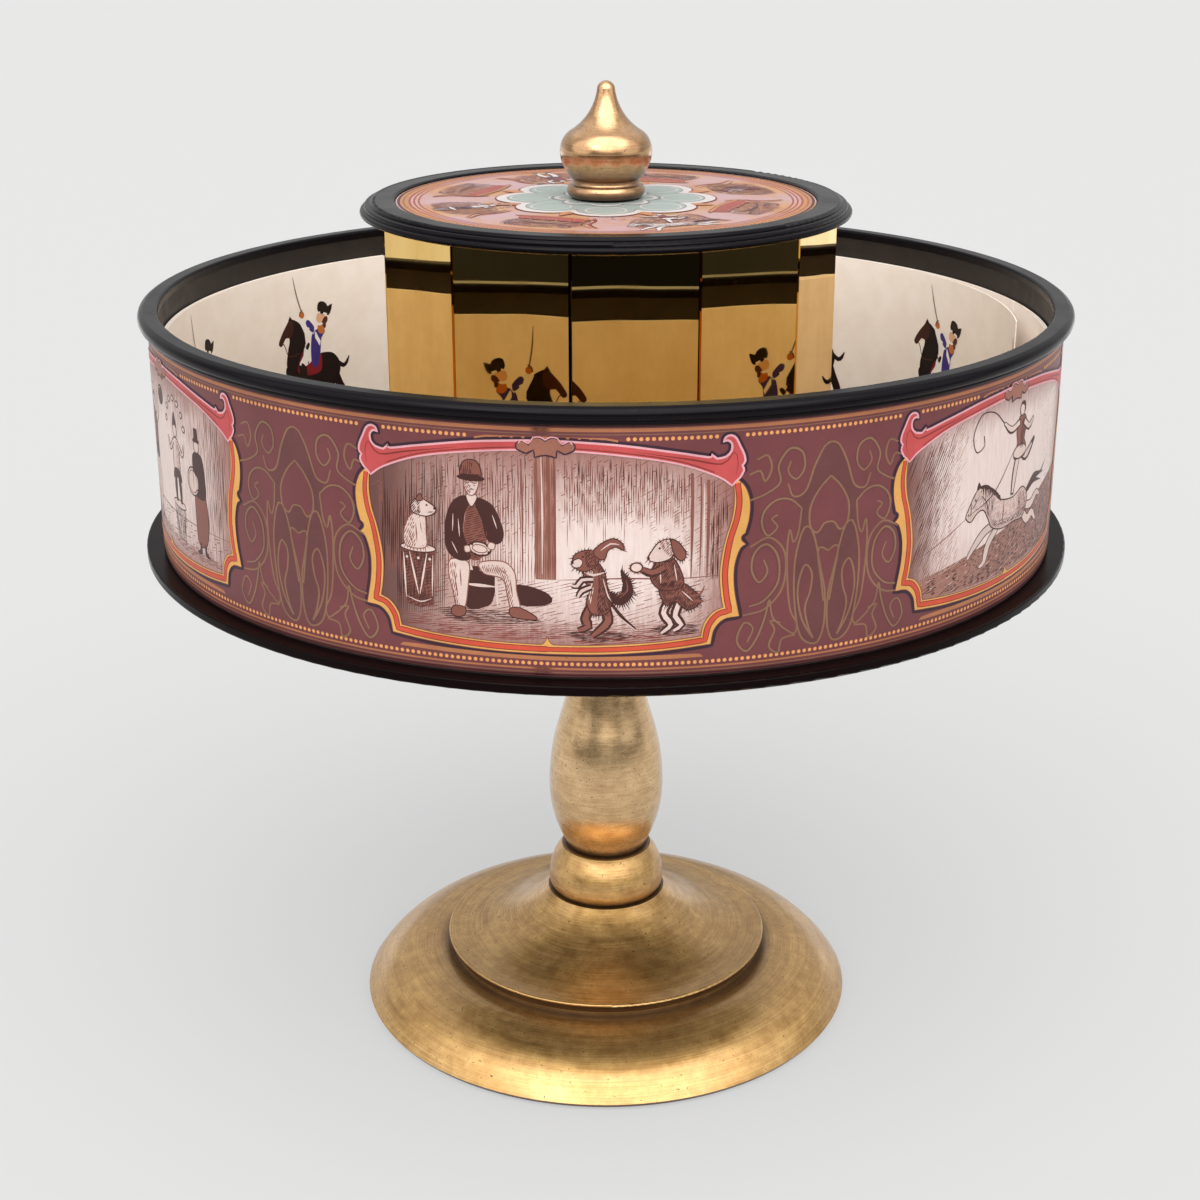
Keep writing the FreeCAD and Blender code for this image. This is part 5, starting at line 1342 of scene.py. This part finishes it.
def print_lid():
    finishes = {
        "coral": printed("lid_coral", screen(157, 77, 72)),
        "rust": printed("lid_rust", screen(117, 53, 48)),
        "beads": printed("lid_beads", screen(179, 141, 104)),
        "orange": printed("lid_orange", screen(171, 117, 77)),
        "violet": printed("lid_violet", screen(86, 64, 78)),
        "cream": printed("lid_cream", screen(189, 181, 178), 0.4, 0.04),
        "sage": printed("lid_sage", screen(142, 152, 147), 0.4, 0.05),
        "sage_dark": printed("lid_sage_dark", screen(110, 117, 117), 0.4, 0.06),
        "ring": printed("lid_ring", screen(141, 67, 62)),
        "edge": printed("lid_edge", screen(74, 38, 43)),
    }
    art = Print()
    circle = [2 * math.pi * k / 180 for k in range(180)]

    def ring(ink, radius, width):
        points = [(r * math.sin(a), -r * math.cos(a)) * 2 for r in (radius - width / 2,
            radius + width / 2) for a in circle]
        art.add(ink, points, [[i, (i + 1) % 180, 180 + (i + 1) % 180, 180 + i] for i in range(180)])

    ring("orange", 65.3, 3.4)
    for radius, width in ((66.9, 0.9), (63.4, 0.7), (61.9, 0.6), (60.4, 0.6)):
        ring("ring" if radius < 66 else "edge", radius, width)
    for k in range(240):
        a = math.pi * k / 120
        art.dot("edge", 65.3 * math.sin(a), -65.3 * math.cos(a), 0.42, 6)
    art.settle()
    figures = ((gallop, acrobat), (first_dog,), (lifter,), (juggler,))
    centres = ((0, 3), (13, -10), (-16.6, 0), (12.8, -2))
    shaded = Print()
    shaded.hatch("violet", blob([(-13, -4), (-8, 7), (2, 9), (13, 5), (12, -6), (3, -10), (-8, -9)]),
        34, 0.8, 0.42, 7.0)
    shaded.hatch("rust", blob([(-12, -8), (-4, 3), (8, 6), (12, -3), (2, -9)]), 100, 1.2, 0.4, 5.0)
    for k in range(8):
        a = math.pi / 4 * (k + 0.5)
        art.stamp(shaded, [(47.5 * math.sin(a), -47.5 * math.cos(a), 1.0, a)])
        for turn, reach in ((a - math.pi / 8, 0.16), (a - math.pi / 8, 0.10)):
            arc = [(r * math.sin(turn + t), -r * math.cos(turn + t))
                for r, t in ((38.5, -reach), (44, -reach * 0.75), (50, -reach), (56.5, -reach * 0.5))]
            art.stroke("orange" if reach > 0.12 else "ring", arc, 1.1, 0.5, 0.5)
            art.stroke("edge", [(x + 0.5, y + 0.5) for x, y in arc], 0.35, 0.5, 0.5)
    art.settle()
    for k in range(8):
        a = math.pi / 4 * (k + 0.5)
        x, y = 47.5 * math.sin(a), -47.5 * math.cos(a)
        if k % 2:
            art.stamp(swag(), [(x, y, 0.95, a)])
            continue
        sheet = Print()
        for draw in figures[k // 2]:
            draw(sheet)
        cx, cy = centres[k // 2]
        scale = 0.58
        moved = (x - scale * (cx * math.cos(a) - cy * math.sin(a)),
            y - scale * (cx * math.sin(a) + cy * math.cos(a)))
        art.stamp(sheet, [(*moved, scale, a)], {"sepia": "violet", "umber": "rust", "paper": "cream"})
    art.settle()
    art.fill("rust", lobed(8, 24.0, 12.0))
    art.fill("cream", lobed(8, 24.0, 11.5))
    art.fill("sage_dark", lobed(8, 22.6, 9.6))
    art.fill("sage", lobed(8, 22.6, 9.1))
    for k in range(8):
        a = math.pi / 4 * k
        petal = [(24.5 * math.sin(a) + 6.4 * math.sin(b),
            -24.5 * math.cos(a) - 6.4 * math.cos(b)) for b in (2 * math.pi * j / 28 for j in range(28))]
        art.line("cream", petal, 0.55, closed=True)
        between = a + math.pi / 8
        wedge = [(r * math.sin(between + s), -r * math.cos(between + s))
            for r, s in ((37.5, 0), (31.6, 0.075), (29.2, 0), (31.6, -0.075))]
        art.fill("orange", wedge)
        art.line("ring", wedge, 0.35, closed=True)
    inner = lobed(8, 12.4, 5.4)
    art.fill("sage_dark", inner)
    art.fill("cream", [(x * 0.95, y * 0.95) for x, y in inner])
    art.fill("sage", [(x * 0.86, y * 0.86) for x, y in inner])
    ring("edge", 10.6, 0.7)
    art.lay("lid_art", "lid", finishes, on_lid)


def lid_ground():
    """Tan and orange paper clouded with lilac, in eight soft patches round the disc."""
    made = Finish("lid_ground", Specular_IOR_Level=0.4)
    split = made.node("SeparateXYZ", made.place()).outputs
    turn = made.math("ARCTAN2", split[1], split[0])
    patches = made.math("SINE", made.math("MULTIPLY_ADD", turn, 8.0, 1.2))
    cloud = made.noise(made.place(), 62.0, 5.0, 0.66, 0.8)
    share = made.math("MULTIPLY_ADD", made.math("SUBTRACT", cloud, 0.5),
        3.4, made.math("MULTIPLY", patches, 0.42))
    warm = made.mix(made.span(made.noise(made.place(), 120.0, 4.0, 0.6), 0.35, 0.65), screen(178, 133, 93),
        screen(165, 113, 77))
    made.color(made.mix(made.span(share, -0.35, 0.55), warm, screen(170, 139, 141)))
    made.roughness(made.span(cloud, 0.3, 0.7, 0.36, 0.46))
    made.bump(made.noise(made.place(), 1500.0, 2.0), 0.12, 0.00004)
    return made.material


print_lid()


# ---- finishes of the CAD nodes ----------------------------------------------------------------

antique = brass("antique_brass", screen(222, 180, 114), screen(164, 120, 64), screen(54, 30, 24), 0.4, 0.06)
satin = brass("satin_brass", screen(236, 200, 150), screen(186, 148, 100), screen(60, 36, 26), 0.26, 0.05)
polished = brass("polished_brass", screen(216, 172, 126), screen(170, 126, 84), screen(60, 36, 24), 0.2, 0.05)
black = lacquer("black_lacquer", screen(9, 6, 10), screen(26, 23, 25), 0.22, 1.6, 0.11)
dark = lacquer("dark_lacquer", screen(12, 4, 4), screen(34, 16, 12), 0.2, 0.8, 0.05)
board = plain("drum_board", screen(20, 14, 12), screen(34, 26, 22), 160.0, 0.5, 0.00008)
wood = plain("plain_wood", screen(40, 26, 18), screen(70, 46, 30), 60.0, 0.6, 0.0001, 0.0, (1.0, 1.0, 0.12))
steel = plain("steel", screen(186, 188, 192), screen(150, 152, 158), 320.0, 0.32, 0.00002, 1.0)
hard_steel = plain("bearing_steel", screen(214, 216, 220), screen(190, 192, 198), 420.0, 0.14, 0.00001, 1.0)
bronze = plain("bush_bronze", screen(176, 128, 76), screen(140, 96, 54), 300.0, 0.4, 0.00003, 1.0)
blued = plain("blackened_steel", screen(30, 30, 33), screen(52, 52, 56), 260.0, 0.42, 0.00003, 0.85)
iron = plain("cast_iron", screen(30, 30, 32), screen(52, 51, 52), 210.0, 0.62, 0.0002, 0.3)
felt = plain("green_felt", screen(24, 60, 38), screen(44, 84, 56), 900.0, 0.95, 0.0004)
hardboard = plain("hardboard", screen(84, 56, 36), screen(116, 82, 56), 500.0, 0.7, 0.00008)
mirror = tinted_mirror()

FINISHES = {
    antique: ["base_dish", "base_crown", "collar_ring"],
    satin: ["stem", "bearing_seat"],
    polished: ["finial"],
    black: ["rim_ring", "lid_disc", "finial_washer"],
    dark: ["platter"],
    board: ["drum_wall"],
    wood: ["mirror_core", "core_cap"],
    steel: ["tie_rod", "tie_rod_nut", "tie_rod_washer", "retaining_washer", "retaining_nut", "hub",
        "lid_stud", "lid_stud_nut"],
    hard_steel: ["bearing_balls", "lower_race", "upper_race", "spindle"],
    bronze: ["ball_cage", "lower_bush", "upper_bush"],
    blued: ["hub_screws", "hub_nuts"],
    iron: ["ballast_weight"],
    felt: ["felt_pad"],
    hardboard: ["bottom_cover"],
    card: ["picture_strip", "spare_strip", "back_strip"],
    mirror: [f"mirror_{k:02d}" for k in range(1, 13)],
    label_ground: ["drum_label"],
    lid_ground(): ["lid_label"],
}
for finish, names in FINISHES.items():
    for name in names:
        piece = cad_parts[name]
        piece.data.materials.clear()
        piece.data.materials.append(finish)


# ---- studio -----------------------------------------------------------------------------------

floor_mesh = bpy.data.meshes.new("floor")
FLOOR_REACH = 40.0
FLOOR_HEIGHT = -0.3 * MM  # a hair under the felt pad, so that the two faces don't fight
floor_corners = [(x * FLOOR_REACH, y * FLOOR_REACH, FLOOR_HEIGHT)
    for x, y in ((-1, -1), (1, -1), (1, 1), (-1, 1))]
floor_mesh.from_pydata(floor_corners, [], [(0, 1, 2, 3)])
floor = put("floor", floor_mesh)
floor_finish = Finish("floor", Roughness=1.0, Specular_IOR_Level=0.0)
floor_finish.color((0.19, 0.19, 0.19, 1))
floor_finish.feed(floor_finish.shader.inputs["Emission Color"], (1, 1, 1, 1))
floor_finish.feed(floor_finish.shader.inputs["Emission Strength"], 0.46)
floor_mesh.materials.append(floor_finish.material)


def studio_world():
    """A dim room with soft bright patches: behind, overhead, at each side, and high in front."""
    made = bpy.data.worlds.new("studio")
    made.use_nodes = True
    tree = made.node_tree

    def node(kind, *inputs, **settings):
        new = tree.nodes.new("ShaderNode" + kind)
        for key, value in settings.items():
            setattr(new, key, value)
        for socket, value in zip(new.inputs, inputs):
            if isinstance(value, bpy.types.NodeSocket):
                tree.links.new(value, socket)
            else:
                socket.default_value = value
        return new

    ray = node("VectorMath", node("TexCoord").outputs["Generated"], operation="NORMALIZE").outputs[0]
    total = None
    for direction, edge, core, power in PATCHES:
        facing = node("VectorMath", ray, Vector(direction).normalized(), operation="DOT_PRODUCT")
        share = node("MapRange", facing.outputs["Value"],
            edge, core, 0.0, power, interpolation_type="SMOOTHSTEP")
        total = share.outputs[0] if total is None else node("Math", total, share.outputs[0],
            operation="ADD").outputs[0]
    total = node("Math", total, ROOM, operation="ADD").outputs[0]
    tree.links.new(total, tree.nodes["Background"].inputs[1])
    tree.nodes["Background"].inputs[0].default_value = (1, 0.995, 0.985, 1)
    return made


ROOM = 0.13
PATCHES = (
    ((0, 1, 0.25), -0.1, 0.7, 0.42),
    ((0, 0.1, 1), 0.35, 0.95, 0.5),
    ((-0.88, -0.4, 0.42), 0.80, 0.93, 1.2),
    ((0.88, -0.4, 0.42), 0.80, 0.93, 1.0),
    ((0.05, -0.6, 0.8), 0.62, 0.92, 3.2),
)
bpy.context.scene.world = studio_world()


def softbox(name, place, target, wide, high, power, color=(1, 1, 1)):
    data = bpy.data.lights.new(name, "AREA")
    data.shape = "RECTANGLE"
    data.size, data.size_y = wide, high
    data.energy = power
    data.color = color
    lamp = put(name, data)
    lamp.location = place
    lamp.rotation_euler = (Vector(target) - Vector(place)).to_track_quat("-Z", "Y").to_euler()


softbox("front", (-1.6, -3.2, 2.6), (0, 0, 0.2), 1.2, 1.2, 12)


def glowing(name):
    """An emission material: the material, its nodes and its emission node."""
    made = bpy.data.materials.new(name)
    made.use_nodes = True
    tree = made.node_tree
    tree.nodes.remove(tree.nodes["Principled BSDF"])
    glow = tree.nodes.new("ShaderNodeEmission")
    tree.links.new(glow.outputs[0], tree.nodes["Material Output"].inputs[0])
    return made, tree, glow


def backdrop(radius, level):
    """Plain pale paper round the set, seen only by the camera, where a low view looks past the floor."""
    form = bmesh.new()
    bmesh.ops.create_icosphere(form, subdivisions=3, radius=radius)
    mesh = bpy.data.meshes.new("backdrop")
    form.to_mesh(mesh)
    form.free()
    paper, _, glow = glowing("backdrop")
    glow.inputs["Strength"].default_value = level
    mesh.materials.append(paper)
    sheet = put("backdrop", mesh)
    sheet.visible_diffuse = sheet.visible_glossy = sheet.visible_transmission = sheet.visible_shadow = False


backdrop(8.0, 0.8)


def flag(name, first, last, shades):
    """A low curtain round the set, seen only in reflections. shades are (degrees, brightness)."""
    radius, top, count = 1.1, 0.17, 48
    verts = []
    for k in range(count + 1):
        x, y = heading(math.radians(first + (last - first) * k / count)) * radius
        verts += [(x, y, 0.0), (x, y, top)]
    mesh = bpy.data.meshes.new(name)
    mesh.from_pydata(verts, [], [(2 * k, 2 * k + 2, 2 * k + 3, 2 * k + 1) for k in range(count)])
    cloth, tree, glow = glowing(name)
    level = mesh.color_attributes.new("level", "FLOAT_COLOR", "POINT")
    places, values = zip(*shades)
    for k in range(count + 1):
        value = float(np.interp(first + (last - first) * k / count, places, values))
        for i in (2 * k, 2 * k + 1):
            level.data[i].color = (value, value, value, 1)
    attribute = tree.nodes.new("ShaderNodeVertexColor")
    attribute.layer_name = "level"
    tree.links.new(attribute.outputs[0], glow.inputs[0])
    mesh.materials.append(cloth)
    curtain = put(name, mesh)
    curtain.visible_camera = curtain.visible_diffuse = curtain.visible_shadow = False


flag("flag_front", -78, 96, ((-78, 0.4), (-66, 0.06), (-48, 0.02), (0, 0.005), (60, 0.01), (80, 0.03),
    (90, 0.3), (96, 0.6)))
flag("flag_back", 112, 258, ((112, 0.8), (128, 0.8), (142, 1.5), (154, 1.2), (168, 0.3), (180, 0.1),
    (192, 0.3), (206, 1.2), (218, 1.5), (232, 0.8), (258, 0.8)))

# The camera that was fitted to the photograph's circles.
LENS, SENSOR, SHIFT = 61.16, 36, -0.005
EYE = (0, -0.6643, 0.3936)
LOOKS_DOWN = 0.353
camera_data = bpy.data.cameras.new("camera")
camera_data.lens = LENS
camera_data.sensor_width = SENSOR
camera_data.shift_x = SHIFT
camera_data.clip_start, camera_data.clip_end = 0.01, 200
camera = put("camera", camera_data)
camera.location = EYE
camera.rotation_euler = (math.pi / 2 - LOOKS_DOWN, 0, 0)
bpy.context.scene.camera = camera
bpy.context.scene.view_settings.view_transform = "Standard"
